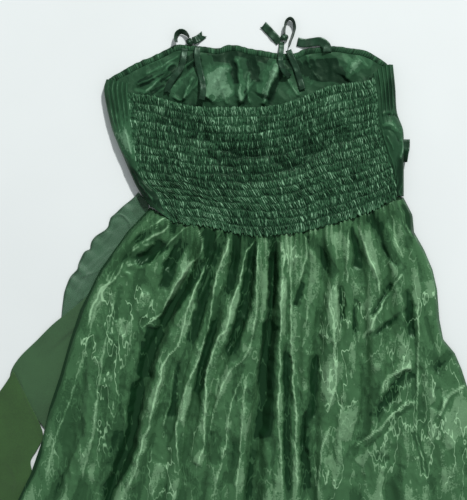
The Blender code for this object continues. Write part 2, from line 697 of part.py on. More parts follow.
def layer_rows(free, hidden, columns, rows, height):
    """Rows of a layer from its free edge to its hidden one; height takes share along, mm in."""
    free_line, hidden_line = curve(free), curve(hidden)
    sheet = []
    for t in np.linspace(0, 1, columns + 1):
        start, end = free_line(t), hidden_line(t)
        width = np.linalg.norm(end - start)
        row = []
        for s in np.linspace(0, 1, rows + 1):
            x, y = start * (1 - s) + end * s
            row.append((x, y, height(t, s * width, s)))
        sheet.append(row)
    return sheet


def make_left_layers():
    """Sheer ruffle and the two matt layers that lie beneath the skirt's left side."""
    def ruffle_height(t, inside, s):
        fade = ease(1 - s / RUFFLE_FLAT_SHARE) * ease(9 * t + 0.2)
        fade *= ease(6 * (RUFFLE_END_SHARE - t))
        return RUFFLE_RISE * fade * (0.5 - 0.5 * math.cos(2 * math.pi * RUFFLE_WAVES * t))

    def upper_height(t, inside, s):
        over = ease((OVERLAP + OVERLAP_SLOPE - inside) / OVERLAP_SLOPE)
        return OVERLAY_LIFT * over * ease((UPPER_OVER_SHARE - t) / 0.1)

    def lower_height(t, inside, s):
        near = ease((LOWER_OVER_SHARE - t) / 0.04)
        corner = 2 * OVERLAP * ease((LOWER_CORNER_SHARE - t) / 0.1)
        return OVERLAY_LIFT * near * ease((inside - 4 + corner) / OVERLAP_SLOPE)

    ruffle = layer_rows(RUFFLE_FREE, RUFFLE_HIDDEN, 4 * RUFFLE_WAVES, 3, ruffle_height)
    wall("ruffle_sheer", lifted(ruffle, LAYER_CLOTH), ruffle, ORGANZA)
    upper = layer_rows(UPPER_FREE, UPPER_HIDDEN, 14, 5, upper_height)
    wall("flounce_upper", lifted(upper, LAYER_CLOTH), upper, CREPE)
    lower = layer_rows(LOWER_FREE, LOWER_HIDDEN, 20, 4, lower_height)
    wall("flounce_lower", lifted(lower, LAYER_CLOTH), lower, CREPE)


def surface_below(things):
    """A function that gives the highest point of the things near x, y, or the floor."""
    trees = [BVHTree.FromObject(thing, bpy.context.evaluated_depsgraph_get()) for thing in things]

    def height(x, y, reach):
        highest = 0.0
        for dx in np.linspace(-1, 1, 9):
            for dy in np.linspace(-1, 1, 9):
                start = Vector((x + dx * reach, y + dy * reach, 100.0)) * MM
                for tree in trees:
                    hit = tree.ray_cast(start, Vector((0, 0, -1)))[0]
                    if hit is not None:
                        highest = max(highest, hit.z / MM)
        return highest

    return height


def make_ribbon(name, width, route, surface):
    """A flat or standing ribbon laid over what is beneath it."""
    line = curve(route)
    steps = max(4, round(curve_length(curve([row[:2] for row in route])) / RIBBON_STEP))
    places = [line(t) for t in np.linspace(0, 1, steps + 1)]
    below = [surface(x, y, 0.5 * width + LAYER_GAP) for x, y, _ in places]
    rings = []
    for i, (x, y, lean) in enumerate(places):
        before, after = places[max(0, i - 1)], places[min(steps, i + 1)]
        along = np.array([after[0] - before[0], after[1] - before[1], 0.0])
        along /= np.linalg.norm(along)
        side = np.array([along[1], -along[0], 0.0])
        up = np.array([0.0, 0.0, 1.0])
        angle = math.radians(lean)
        broad = side * math.cos(angle) + up * math.sin(angle)
        thin = up * math.cos(angle) - side * math.sin(angle)
        rest = max(below[max(0, i - 1):i + 2])
        half_rise = 0.5 * width * abs(broad[2]) + 0.5 * RIBBON_THICK * abs(thin[2])
        centre = np.array([x, y, rest + LAYER_GAP + half_rise])
        ring = [centre + 0.5 * (a * width * broad + b * RIBBON_THICK * thin)
                for a, b in ((-1, -1), (1, -1), (1, 1), (-1, 1))]
        rings.append(ring)
    tube(name, rings, RIBBON)


def make_knot(name, place, surface):
    """A rounded knot seated on what is beneath it."""
    width, depth, height = KNOT_SIZE
    mesh = bpy.data.meshes.new(name)
    shape = bmesh.new()
    bmesh.ops.create_uvsphere(shape, u_segments=12, v_segments=7, radius=0.5)
    bmesh.ops.scale(shape, vec=(width * MM, depth * MM, height * MM), verts=shape.verts)
    shape.to_mesh(mesh)
    shape.free()
    mesh.shade_smooth()
    mesh.materials.append(cloth_material(name, RIBBON))
    thing = bpy.data.objects.new(name, mesh)
    rest = surface(*place, 0.3 * width)
    thing.location = Vector((*place, rest + LAYER_GAP + height / 2)) * MM
    bpy.context.scene.collection.objects.link(thing)


def main():
    """Builds the dress, lowest layers first."""
    clear_scene()
    make_front_bodice()
    lining = make_lining()
    make_casing()
    make_side("side_panel_left", EDGE_LEFT, SEAM_LEFT, SIDE_LEFT_FORM, 1)
    make_side("side_panel_right", EDGE_RIGHT, SEAM_RIGHT, SIDE_RIGHT_FORM, -1)
    make_back()
    make_skirt()
    make_left_layers()
    bpy.context.view_layer.update()
    surface = surface_below([lining, bpy.data.objects["neck_casing"]])
    make_knot("bow_left_knot", LEFT_KNOT, surface)
    make_knot("bow_center_knot", CENTER_KNOT, surface)
    for name, (width, route) in RIBBONS.items():
        make_ribbon(name, width, route, surface)


main()
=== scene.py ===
"""Party dress laid flat with its back upwards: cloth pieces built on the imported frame.

The frame is in metres: +Y points to the neckline, +X to the right seen from above, +Z up from the
surface. Tables and sizes here are in millimetres and are turned to metres when a mesh is made.
"""

import json
import math

import bmesh
import bpy
import numpy as np
from bpy.props import FloatProperty, FloatVectorProperty, IntProperty, PointerProperty
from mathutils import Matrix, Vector, noise
from mathutils.bvhtree import BVHTree

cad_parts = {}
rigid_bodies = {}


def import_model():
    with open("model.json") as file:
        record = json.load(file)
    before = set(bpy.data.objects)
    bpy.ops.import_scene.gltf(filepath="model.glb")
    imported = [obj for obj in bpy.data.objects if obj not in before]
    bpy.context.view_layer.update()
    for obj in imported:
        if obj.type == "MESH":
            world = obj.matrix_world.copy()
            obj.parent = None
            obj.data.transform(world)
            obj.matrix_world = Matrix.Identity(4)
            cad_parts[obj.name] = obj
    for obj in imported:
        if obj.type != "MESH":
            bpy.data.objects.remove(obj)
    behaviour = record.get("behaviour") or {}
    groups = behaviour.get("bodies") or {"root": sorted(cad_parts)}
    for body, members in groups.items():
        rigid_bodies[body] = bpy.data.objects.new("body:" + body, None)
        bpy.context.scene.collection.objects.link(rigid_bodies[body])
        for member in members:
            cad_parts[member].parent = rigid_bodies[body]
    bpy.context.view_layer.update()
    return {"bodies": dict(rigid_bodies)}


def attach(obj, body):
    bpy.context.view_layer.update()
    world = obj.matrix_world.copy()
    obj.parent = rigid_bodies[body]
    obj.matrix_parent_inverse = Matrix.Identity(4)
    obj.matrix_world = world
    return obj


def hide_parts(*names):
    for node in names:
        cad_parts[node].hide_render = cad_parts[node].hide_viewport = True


bl_info = {
    "name": "Laid party dress",
    "version": (1, 0, 0),
    "blender": (4, 5, 0),
    "location": "3D View > Sidebar > Dress",
    "description": "Builds a satin party dress laid flat on a pale surface",
    "category": "Add Mesh",
}

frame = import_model()
BODY = list(frame["bodies"])[0]
MM = 0.001
PHOTO_WIDTH, PHOTO_HEIGHT = 467, 500
MM_PER_PIXEL = 1.3
# The photo's pixel that the frame's origin stands on
ORIGIN_PIXEL = (260, 232)

# Outlines seen from above: x, y
SEAM_LEFT = ((-172, 192), (-172, 178), (-170, 161), (-168, 134), (-165, 110), (-162, 94),
             (-158, 75), (-147, 61), (-134, 48), (-127, 31), (-118, 16.2))
SEAM_RIGHT = ((147, 204), (151, 185), (153, 164), (154, 150), (156, 134), (162, 114),
              (167, 96), (173, 78), (177, 62), (178, 46.4))
EDGE_LEFT = ((-200, 198), (-203, 185), (-199, 161), (-192, 133), (-183, 110), (-176, 94),
             (-168, 75), (-161, 60), (-153, 47), (-146, 38), (-142.5, 32.8))
EDGE_RIGHT = ((173, 217), (176, 187), (177, 166), (179, 152), (186, 133), (187, 113),
              (187, 94), (187, 74), (187, 58), (187, 46.4))
BACK_NECK = ((-170.5, 180), (-135, 174), (-104, 165), (-72, 160), (-31, 160), (-1, 160),
             (27, 164), (56, 174), (84, 186), (114, 191), (140, 195), (148.5, 200))
WAIST = ((-143, 32), (-132, 25.2), (-118, 15.5), (-95, 11), (-66, 8.5), (-36, 0.5), (-1, -3.5),
         (27, -2), (56, 2), (84, 9.5), (114, 17.5), (143, 28), (166, 39.5), (178, 45.5),
         (187, 45.5))
FRONT_NECK = ((-197, 200.5), (-190, 205), (-182, 209), (-159, 222), (-133, 233), (-116, 242),
              (-104, 245), (-72, 242), (-55, 240), (-43, 244), (-29, 244), (-13, 240),
              (4, 237), (21, 234), (44, 233), (58, 239), (79, 242), (100, 243), (120, 240),
              (138, 237), (155, 228), (163, 222), (169.5, 216.5))
SKIRT_LEFT = ((-143, 32), (-173, 0), (-208, -49), (-234, -101), (-247, -140), (-260, -186),
              (-273, -225), (-283, -270), (-299, -316), (-315, -348), (-398, -634),
              (-503, -965))
SKIRT_RIGHT = ((187, 45.5), (199, 22), (201, 0), (214, -23), (225, -49), (231, -75),
               (234, -114), (239, -140), (254, -158), (263, -179), (313, -335), (403, -634),
               (512, -960))

# Shirred back
BAND_STEPS = 6
GATHER_STEPS = 5
SEAM_HEIGHT = 18.0
SEAM_FALL = 1.5
NECK_EDGE_RISE = 5.0
SAG_DEPTH = 3.4
SAG_WIDTH = 12.0
SEAM_GAP = 0.6
SEAM_START_LEFT = 0.066
SEAM_START_RIGHT = 0.026
SHIRRING_SEED = 7
# How far the frills past the last elastic reach out and how far they stand up
NECK_FRILL_OUT, NECK_FRILL_UP = 1.6, 0.9
WAIST_FRILL_OUT, WAIST_FRILL_UP = 2.6, 2.4
STITCH_RADIUS = 0.28
STITCH_LIFT = (0, 0, 0.15)
# Sags across the shirring, each a line of x, y
SAGS = (((-78, 127), (-46, 107), (-13, 99), (27, 101), (79, 116), (110, 120)),
        ((-58, 94), (-13, 70), (39, 81), (78, 107)))
# Narrow shadowed folds in the shirring: depth, half width, points
SHIRRING_FOLDS = (
    (-2.2, 4.0, ((-78, 127), (-46, 106), (-13, 98), (27, 100))),
    (-2.6, 4.5, ((14, 92), (39, 84), (66, 96), (84, 108))),
    (-1.8, 4.0, ((-70, 104), (-46, 88), (-20, 78))),
    (-1.6, 4.0, ((-52, 78), (-28, 66), (0, 62))),
    (-1.2, 5.0, ((-130, 122), (-96, 118), (-70, 120))),
    (-1.3, 5.0, ((30, 118), (66, 124), (100, 136))),
)

# Broad patches of painted shade and painted light on the shirring: tone, half width, points
SHIRRING_SHADES = (
    (-0.07, 16.9, ((-140, 135), (-109, 140), (-78, 127))),
    (-0.06, 13.0, ((-143, 83), (-91, 73), (-46, 68))),
    (-0.08, 9.1, ((-58, 81), (-29, 70))),
    (-0.08, 7.8, ((-36, 103), (0, 101))),
    (-0.09, 7.8, ((29, 83), (57, 90))),
    (0.1, 6.5, ((-68, 117), (-49, 109))),
    (0.08, 6.5, ((-143, 148), (-122, 156))),
    (0.05, 13.0, ((-65, 148), (0, 143))),
    (0.04, 15.6, ((78, 172), (117, 159))),
    (0.05, 11.7, ((-104, 22), (-39, 10))),
)

# Side panels, a row for each station from neck to waist: rise of the face between edge and
# seam, pleat height, tone of painted light and shade
SIDE_LEFT_FORM = ((0.0, 1.2, 0.26), (0.5, 1.3, 0.24), (0.8, 1.2, 0.24), (1.2, 0.7, 0.30),
                  (1.6, 0.1, 0.48), (1.2, 0.0, 0.42), (0.4, 0.0, 0.14), (-0.8, 0.0, 0.0),
                  (0.8, 0.0, -0.02), (0.4, 0.0, 0.04), (0.0, 0.0, 0.3))
SIDE_RIGHT_FORM = ((0.0, 1.1, 0.18), (0.4, 1.1, 0.16), (0.8, 1.0, 0.12), (2.0, 0.6, 0.16),
                   (3.6, 0.0, 0.26), (3.4, 0.0, 0.2), (2.2, 0.0, 0.12), (-0.6, 0.0, 0.04),
                   (-0.4, 0.0, 0.04), (0.0, 0.0, 0.04))
SIDE_NECK_BULGE = 3.6
SIDE_UNDERLAP = 12.0
SIDE_ROWS = 150
SIDE_SHOULDER = 12.4
PLEAT_STEPS = 12
PLEAT_HEIGHT = 1.9
# A pressed pleat's long face and its short one, in shares of its width
PLEAT_LONG, PLEAT_SHORT = 0.78, 0.22
# A side panel's lower face and rounded edge, from the underlap up: mm inwards, height
SIDE_FOOT = ((SIDE_UNDERLAP, 0.25), (0.5 * SIDE_UNDERLAP, 0.3), (3.2, 0.3), (1.4, 1.0),
             (0.5, 2.6), (0.1, 5.2), (0.0, 8.0), (0.4, 10.2))
# Creases of the side panels: height, half width, points
SIDE_CREASES = (
    (1.6, 2.6, ((-176, 138), (-171, 118), (-166, 98))),
    (-1.4, 2.4, ((-182, 120), (-176, 104), (-168, 92))),
    (1.5, 2.4, ((-160, 72), (-148, 52), (-138, 40))),
    (-1.6, 2.6, ((-166, 78), (-156, 62), (-146, 44))),
    (1.2, 4.6, ((157, 136), (164, 139), (172, 137), (179, 129))),
    (1.4, 3.0, ((158, 150), (164, 154), (172, 153))),
    (-2.0, 2.8, ((164, 151), (172, 152), (179, 147), (184, 137))),
    (-1.8, 3.0, ((160, 133), (168, 131), (176, 124), (181, 112))),
    (2.0, 2.6, ((183, 120), (185, 110), (184, 100), (182, 94))),
    (1.3, 1.6, ((157, 134), (160, 122), (166, 106), (172, 86), (176, 64))),
    (1.4, 2.0, ((163, 125), (168, 116), (172, 104))),
)

# Front: its sheet's distance inside the dress's edges, the y of its foot, and its inside's height
FRONT_INSET = 14.4
FRONT_FOOT_Y = -8.0
LINING_LEVEL = 2.9
CASING_HEIGHT = 2.4
# Front's inside above the back's neck edge: height, half width, points
LINING_CREASES = (
    (8.0, 13.0, ((-72, 174), (-62, 190), (-49, 208), (-36, 214))),
    (7.0, 4.6, ((-30, 226), (-27, 198), (-26, 164))),
    (7.0, 4.0, ((4, 164), (10, 185), (21, 216))),
    (-3.0, 3.4, ((12, 164), (22, 187), (39, 213))),
    (9.0, 11.0, ((2, 176), (14, 200), (26, 222))),
    (3.6, 3.0, ((-6, 198), (-18, 182), (-29, 166))),
    (4.4, 3.8, ((-162, 190), (-136, 203), (-109, 221))),
    (4.6, 3.6, ((-124, 198), (-101, 213), (-75, 231))),
    (5.0, 3.2, ((-99, 174), (-94, 185), (-86, 204))),
    (4.2, 3.4, ((-156, 177), (-143, 187), (-127, 203), (-117, 216))),
    (3.8, 3.0, ((-114, 177), (-104, 173), (-94, 179), (-83, 192), (-78, 208))),
    (-3.0, 4.0, ((-120, 188), (-104, 200), (-90, 216))),
    (6.5, 11.0, ((110, 200), (122, 216), (134, 226))),
    (3.0, 3.4, ((91, 177), (110, 187), (133, 192))),
    (-3.4, 14.0, ((50, 196), (66, 208), (92, 216))),
    (2.4, 3.0, ((-143, 174), (-130, 185), (-109, 192))),
    (2.6, 2.8, ((-62, 166), (-52, 182), (-42, 187))),
    (2.2, 2.6, ((-42, 166), (-49, 185), (-55, 203))),
    (3.0, 2.8, ((-13, 166), (-17, 187), (-14, 211))),
    (2.6, 3.0, ((52, 177), (42, 190), (34, 205))),
    (-2.4, 3.0, ((-80, 230), (-78, 206), (-74, 176))),
    (2.6, 3.2, ((60, 232), (66, 214), (78, 196))),
    (2.2, 3.0, ((-150, 206), (-128, 216), (-104, 230))),
)

# Patches of painted shade and painted light on the front's inside: tone, half width, points
LINING_SHADES = (
    (-0.16, 7.5, ((-74, 238), (-52, 240), (-33, 237), (-12, 233), (4, 228), (22, 221))),
    (-0.16, 10.0, ((56, 216), (74, 212), (94, 208), (110, 203))),
    (-0.26, 9.1, ((-91, 229), (-83, 216))),
    (-0.22, 7.8, ((-62, 230), (-31, 229))),
    (-0.24, 5.2, ((-34, 221), (-29, 192))),
    (0.26, 11.7, ((-61, 211), (-52, 190), (-44, 172))),
    (0.1, 7.8, ((-70, 203), (-62, 174))),
    (-0.2, 4.5, ((-159, 191), (-138, 203))),
    (-0.24, 5.9, ((-133, 199), (-108, 214))),
    (-0.16, 3.9, ((-143, 181), (-122, 190))),
    (0.08, 6.5, ((-117, 185), (-101, 198))),
    (0.16, 2.1, ((-165, 185), (-147, 183), (-133, 199), (-109, 212))),
    (0.14, 1.8, ((-109, 195), (-96, 205), (-81, 216))),
    (-0.34, 11.7, ((73, 212), (104, 213))),
    (-0.24, 6.5, ((62, 205), (117, 202))),
    (0.14, 10.4, ((125, 226), (148, 220))),
    (0.1, 3.9, ((108, 237), (117, 221), (130, 208))),
    (0.24, 2.3, ((21, 216), (13, 192), (3, 166))),
    (-0.24, 3.9, ((10, 174), (22, 198), (31, 216))),
    (-0.2, 6.5, ((-10, 226), (-4, 192))),
    (0.08, 7.8, ((39, 187), (52, 174))),
    (-0.14, 6.5, ((32, 221), (52, 216))),
    (0.12, 2.6, ((-26, 166), (-23, 192), (-26, 216))),
    (-0.22, 3.1, ((-21, 166), (-18, 187))),
)

# y of the skirt's levels below the waist, which is level 0; the hem is one level further
FOLD_LEVELS = (-49.0, -114.0, -179.0, -257.0, -335.0)
LAST_LEVEL = len(FOLD_LEVELS)
HEM = LAST_LEVEL + 1
HEM_Y = -965.0
# Skirt folds from left to right. Columns: x of the crest at the waist and at the five levels
# below it, height of the crest, height of the valley to its right
FOLDS = (
    (-134, -197, -224, -246, -266, -285, 11.0, 5.8),
    (-121, -172, -195, -214, -222, -245, 15.0, 6.0),
    (-105, -140, -162, -185, -194, -224, 14.0, 8.0),
    (-86, -103, -140, -166, -178, -205, 13.0, 3.7),
    (-66, -78, -104, -128, -147, -178, 19.0, 7.0),
    (-51, -64, -89, -110, -126, -142, 15.0, 7.5),
    (-36, -50, -68, -86, -105, -112, 17.0, 4.6),
    (-18, -24, -42, -67, -77, -85, 17.0, 5.0),
    (-3, -4, -10, -39, -57, -64, 20.0, 8.5),
    (12, 10, 4, -14, -30, -40, 15.0, 3.7),
    (32, 27, 27, 24, 24, 26, 20.0, 5.2),
    (48, 49, 43, 41, 45, 47, 15.0, 7.5),
    (66, 72, 61, 58, 63, 62, 15.0, 5.0),
    (88, 96, 92, 92, 83, 78, 22.0, 4.6),
    (110, 116, 116, 118, 108, 101, 16.0, 5.2),
    (131, 147, 148, 151, 151, 142, 20.0, 4.6),
    (153, 178, 184, 187, 191, 196, 17.0, 6.0),
    (167, 199, 208, 221, 238, 258, 15.0, 6.5),
    (178, 213, 222, 246, 272, 298, 11.0, 5.0),
)
WAIST_CREST = 18.2
WAIST_DIP = 15.2
EDGE_CREST = 11.5
EDGE_ROLL = 3.5
# The skirt's left edge lies this high on the layers beneath, which end at LAST_FREE_Y
LEFT_LIP = 4.3
LAST_FREE_Y = -740.0
SKIRT_COLUMNS = 442
# Rows of the mesh: to the first level, to HEM_START just past the photo's edge, and to the hem
WAIST_ROWS, FOLD_ROWS, HEM_ROWS = 26, 158, 42
HEM_START = 5.05
CREST_SHARE = 0.22
VALLEY_SHARE = 0.11
FOLD_UNEVEN = 0.3
EVEN_AT_HEM = 0.65
HEM_SWEEP = 32.0
SKIRT_FLOOR = 2.1
SKIRT_TOP = 25.4
WAIST_GATHER = 6.4
WAIST_PRESS = 1.6
# Where the folds' painted light and shade begins, the stretch it comes in over, its reach in
# columns, its amount
LOW_TONE_Y, LOW_TONE_FADE, LOW_TONE_REACH, LOW_TONE = -300.0, 100.0, 24, 0.07
# Below this, past the photo's lower edge, the veins are even
EVEN_VEINS_Y, EVEN_VEINS = -360, 0.6

# Sharp ridges and troughs of the skirt's satin: height, half width, points
SKIRT_CREASES = (
    (3.2, 2.6, ((-117, 17), (-120, 7), (-136, -5), (-150, -12), (-161, -17), (-167, -26))),
    (2.8, 2.2, ((-168, -26), (-160, -21), (-150, -17), (-134, -15))),
    (3.4, 2.8, ((-92, 8), (-98, 4), (-109, -6), (-121, -17), (-133, -30), (-144, -41),
                (-157, -45), (-169, -42), (-176, -36))),
    (2.4, 2.0, ((-133, 3), (-132, 12), (-126, 18), (-119, 17))),
    (2.2, 2.6, ((-177, -39), (-186, -57), (-204, -73), (-216, -95), (-224, -127))),
    (-4.0, 6.0, ((-172, -35), (-150, -31), (-130, -23), (-114, -10))),
    (1.4, 2.2, ((-182, -39), (-208, -88), (-228, -153), (-247, -218), (-266, -270),
                (-280, -335))),
    (1.3, 2.2, ((-188, -88), (-202, -153), (-211, -218), (-218, -270), (-234, -335))),
    (2.6, 2.4, ((-81, 5), (-74, -14), (-78, -31), (-91, -43), (-110, -69), (-120, -88),
                (-130, -108), (-143, -117), (-161, -133))),
    (2.4, 2.0, ((-49, 4), (-56, -10), (-65, -30), (-74, -52), (-84, -75), (-94, -101),
                (-101, -127), (-107, -147), (-124, -169), (-130, -192), (-140, -231),
                (-143, -251), (-151, -270), (-157, -290), (-164, -316), (-185, -348))),
    (1.4, 1.8, ((-110, -173), (-117, -218), (-122, -238), (-127, -257))),
    (2.2, 2.0, ((-39, -4), (-44, -23), (-56, -56), (-62, -88), (-65, -114), (-74, -147),
                (-82, -173), (-91, -188), (-101, -218), (-107, -244), (-109, -270),
                (-107, -290), (-104, -322))),
    (2.2, 2.0, ((-6, -6), (-20, -32), (-26, -62), (-36, -88), (-42, -121), (-55, -138),
                (-64, -164), (-70, -192), (-70, -218), (-72, -257), (-74, -283),
                (-91, -322))),
    (1.8, 1.9, ((-3, -10), (-4, -49), (-5, -101), (-9, -127), (-14, -147), (-22, -166),
                (-39, -179), (-52, -205), (-62, -244), (-69, -281))),
    (2.0, 1.9, ((-20, -182), (-26, -192), (-39, -225), (-44, -270), (-48, -290), (-58, -329),
                (-61, -344))),
    (1.8, 1.9, ((-18, -186), (-22, -231), (-26, -283), (-30, -322), (-30, -348))),
    (1.8, 1.9, ((29, -10), (30, -36), (27, -88), (26, -153), (25, -192), (23, -231),
                (26, -283), (29, -348))),
    (1.8, 1.9, ((39, -10), (40, -88), (42, -179), (47, -231), (46, -270), (48, -348))),
    (2.0, 2.0, ((58, -4), (61, -23), (57, -43), (49, -69))),
    (1.4, 1.8, ((62, -95), (60, -112), (56, -124))),
    (1.9, 2.2, ((88, -88), (94, -114), (95, -147), (98, -192), (91, -218), (84, -244))),
    (1.8, 2.0, ((91, -251), (84, -266), (79, -283), (77, -303), (74, -348))),
    (1.8, 2.0, ((114, 3), (113, -23), (112, -49), (114, -69))),
    (1.4, 1.9, ((110, -95), (113, -127))),
    (1.8, 2.2, ((127, 9), (133, -10), (140, -30), (147, -49), (153, -69), (156, -82))),
    (1.8, 2.0, ((170, 22), (174, 3), (177, -17), (187, -36))),
    (1.7, 2.0, ((182, 29), (188, 9), (198, -6))),
    (2.6, 2.8, ((182, -56), (153, -101), (136, -134), (130, -140))),
    (2.2, 2.0, ((204, -88), (205, -127), (204, -166), (203, -218), (202, -264), (208, -283),
                (217, -335))),
    (2.4, 2.8, ((195, -173), (162, -192), (156, -212))),
    (2.4, 2.8, ((198, -218), (179, -230), (161, -247), (140, -265), (120, -283))),
    (2.0, 2.8, ((269, -198), (254, -205), (239, -221), (229, -242))),
    (1.6, 2.2, ((234, -88), (242, -121), (250, -147), (263, -169))),
    (-2.2, 3.0, ((-240, -218), (-231, -257), (-244, -290), (-256, -316), (-270, -346))),
    (-1.8, 2.6, ((-182, -218), (-179, -270), (-195, -322))),
    (-3.6, 6.0, ((-72, -36), (-91, -69), (-110, -88), (-126, -117), (-146, -147), (-152, -179),
                 (-162, -218), (-168, -257), (-182, -303), (-205, -342))),
    (-1.6, 2.6, ((-61, -23), (-69, -49), (-78, -75), (-88, -114), (-95, -147), (-104, -173),
                 (-114, -218), (-130, -283))),
    (-1.6, 2.6, ((-49, -75), (-55, -114), (-65, -140), (-72, -166), (-78, -192), (-79, -231),
                 (-84, -257), (-88, -283))),
    (-1.6, 2.6, ((-20, -56), (-26, -88), (-30, -114), (-35, -140), (-42, -166), (-49, -192),
                 (-58, -212))),
    (-3.4, 5.0, ((13, -23), (16, -62), (10, -114), (8, -153), (5, -192), (5, -231), (-3, -264),
                 (-9, -290))),
    (-2.6, 3.2, ((16, -270), (16, -309), (14, -348))),
    (-1.6, 2.0, ((32, -30), (36, -88), (34, -166), (34, -257), (38, -348))),
    (-2.0, 2.6, ((62, -39), (56, -62), (48, -88), (43, -101))),
    (-2.4, 3.2, ((72, -179), (66, -199), (60, -218), (56, -270), (61, -296), (64, -348))),
    (-1.8, 2.6, ((68, -134), (72, -147), (73, -166), (69, -179))),
    (-2.2, 2.6, ((120, -75), (122, -127), (126, -153), (133, -192), (131, -231), (125, -257),
                 (117, -277), (110, -296), (105, -316))),
    (-2.0, 2.6, ((117, 9), (126, -23), (127, -36))),
    (-2.0, 2.8, ((140, 18), (153, -10), (166, -30), (179, -47))),
    (-1.8, 2.4, ((176, 22), (185, 9), (192, -4))),
    (-2.6, 2.6, ((188, -43), (176, -62), (162, -82), (152, -95), (143, -112))),
    (-2.0, 2.4, ((192, -99), (176, -109), (146, -134))),
    (-2.6, 2.4, ((198, -88), (196, -114), (202, -160), (198, -218), (200, -231))),
    (-2.4, 2.4, ((199, -178), (182, -190), (169, -206), (156, -226), (146, -244))),
    (-2.4, 2.4, ((198, -226), (182, -238), (166, -255), (143, -274), (124, -290),
                 (120, -303))),
    (-1.8, 2.4, ((240, -166), (225, -186))),
    (-2.0, 2.4, ((260, -203), (247, -220), (234, -241), (228, -257))),
    (-1.6, 2.4, ((173, -299), (188, -307))),
)
# Creases of the part of the skirt past the photograph's edge, made in the same manner
HEM_CREASES = (
    (2.4, 4.0, ((-250, -420), (-225, -470), (-235, -540), (-262, -610))),
    (-2.4, 4.5, ((-180, -380), (-196, -450), (-214, -530), (-240, -640))),
    (2.2, 4.0, ((-120, -400), (-150, -470), (-158, -560), (-180, -650))),
    (2.4, 4.0, ((-60, -380), (-70, -460), (-62, -540), (-84, -640))),
    (-2.6, 4.5, ((0, -380), (-6, -470), (6, -560), (-4, -680))),
    (2.2, 4.0, ((40, -400), (52, -490), (44, -590), (58, -700))),
    (2.4, 4.0, ((150, -380), (118, -440), (104, -500))),
    (-2.4, 4.5, ((210, -400), (196, -470), (206, -560), (228, -660))),
    (2.4, 4.0, ((290, -420), (250, -480), (232, -540))),
    (2.2, 4.0, ((330, -520), (300, -590), (306, -680))),
    (-2.2, 4.5, ((-300, -640), (-330, -720), (-350, -820), (-400, -930))),
    (2.2, 4.0, ((-230, -700), (-260, -780), (-270, -880), (-292, -960))),
    (2.2, 4.0, ((-120, -720), (-128, -800), (-150, -900))),
    (-2.4, 4.5, ((30, -740), (40, -830), (30, -940))),
    (2.2, 4.0, ((110, -700), (130, -790), (128, -900))),
    (2.2, 4.0, ((240, -720), (262, -800), (300, -900))),
    (-2.2, 4.5, ((340, -760), (372, -850), (410, -940))),
)
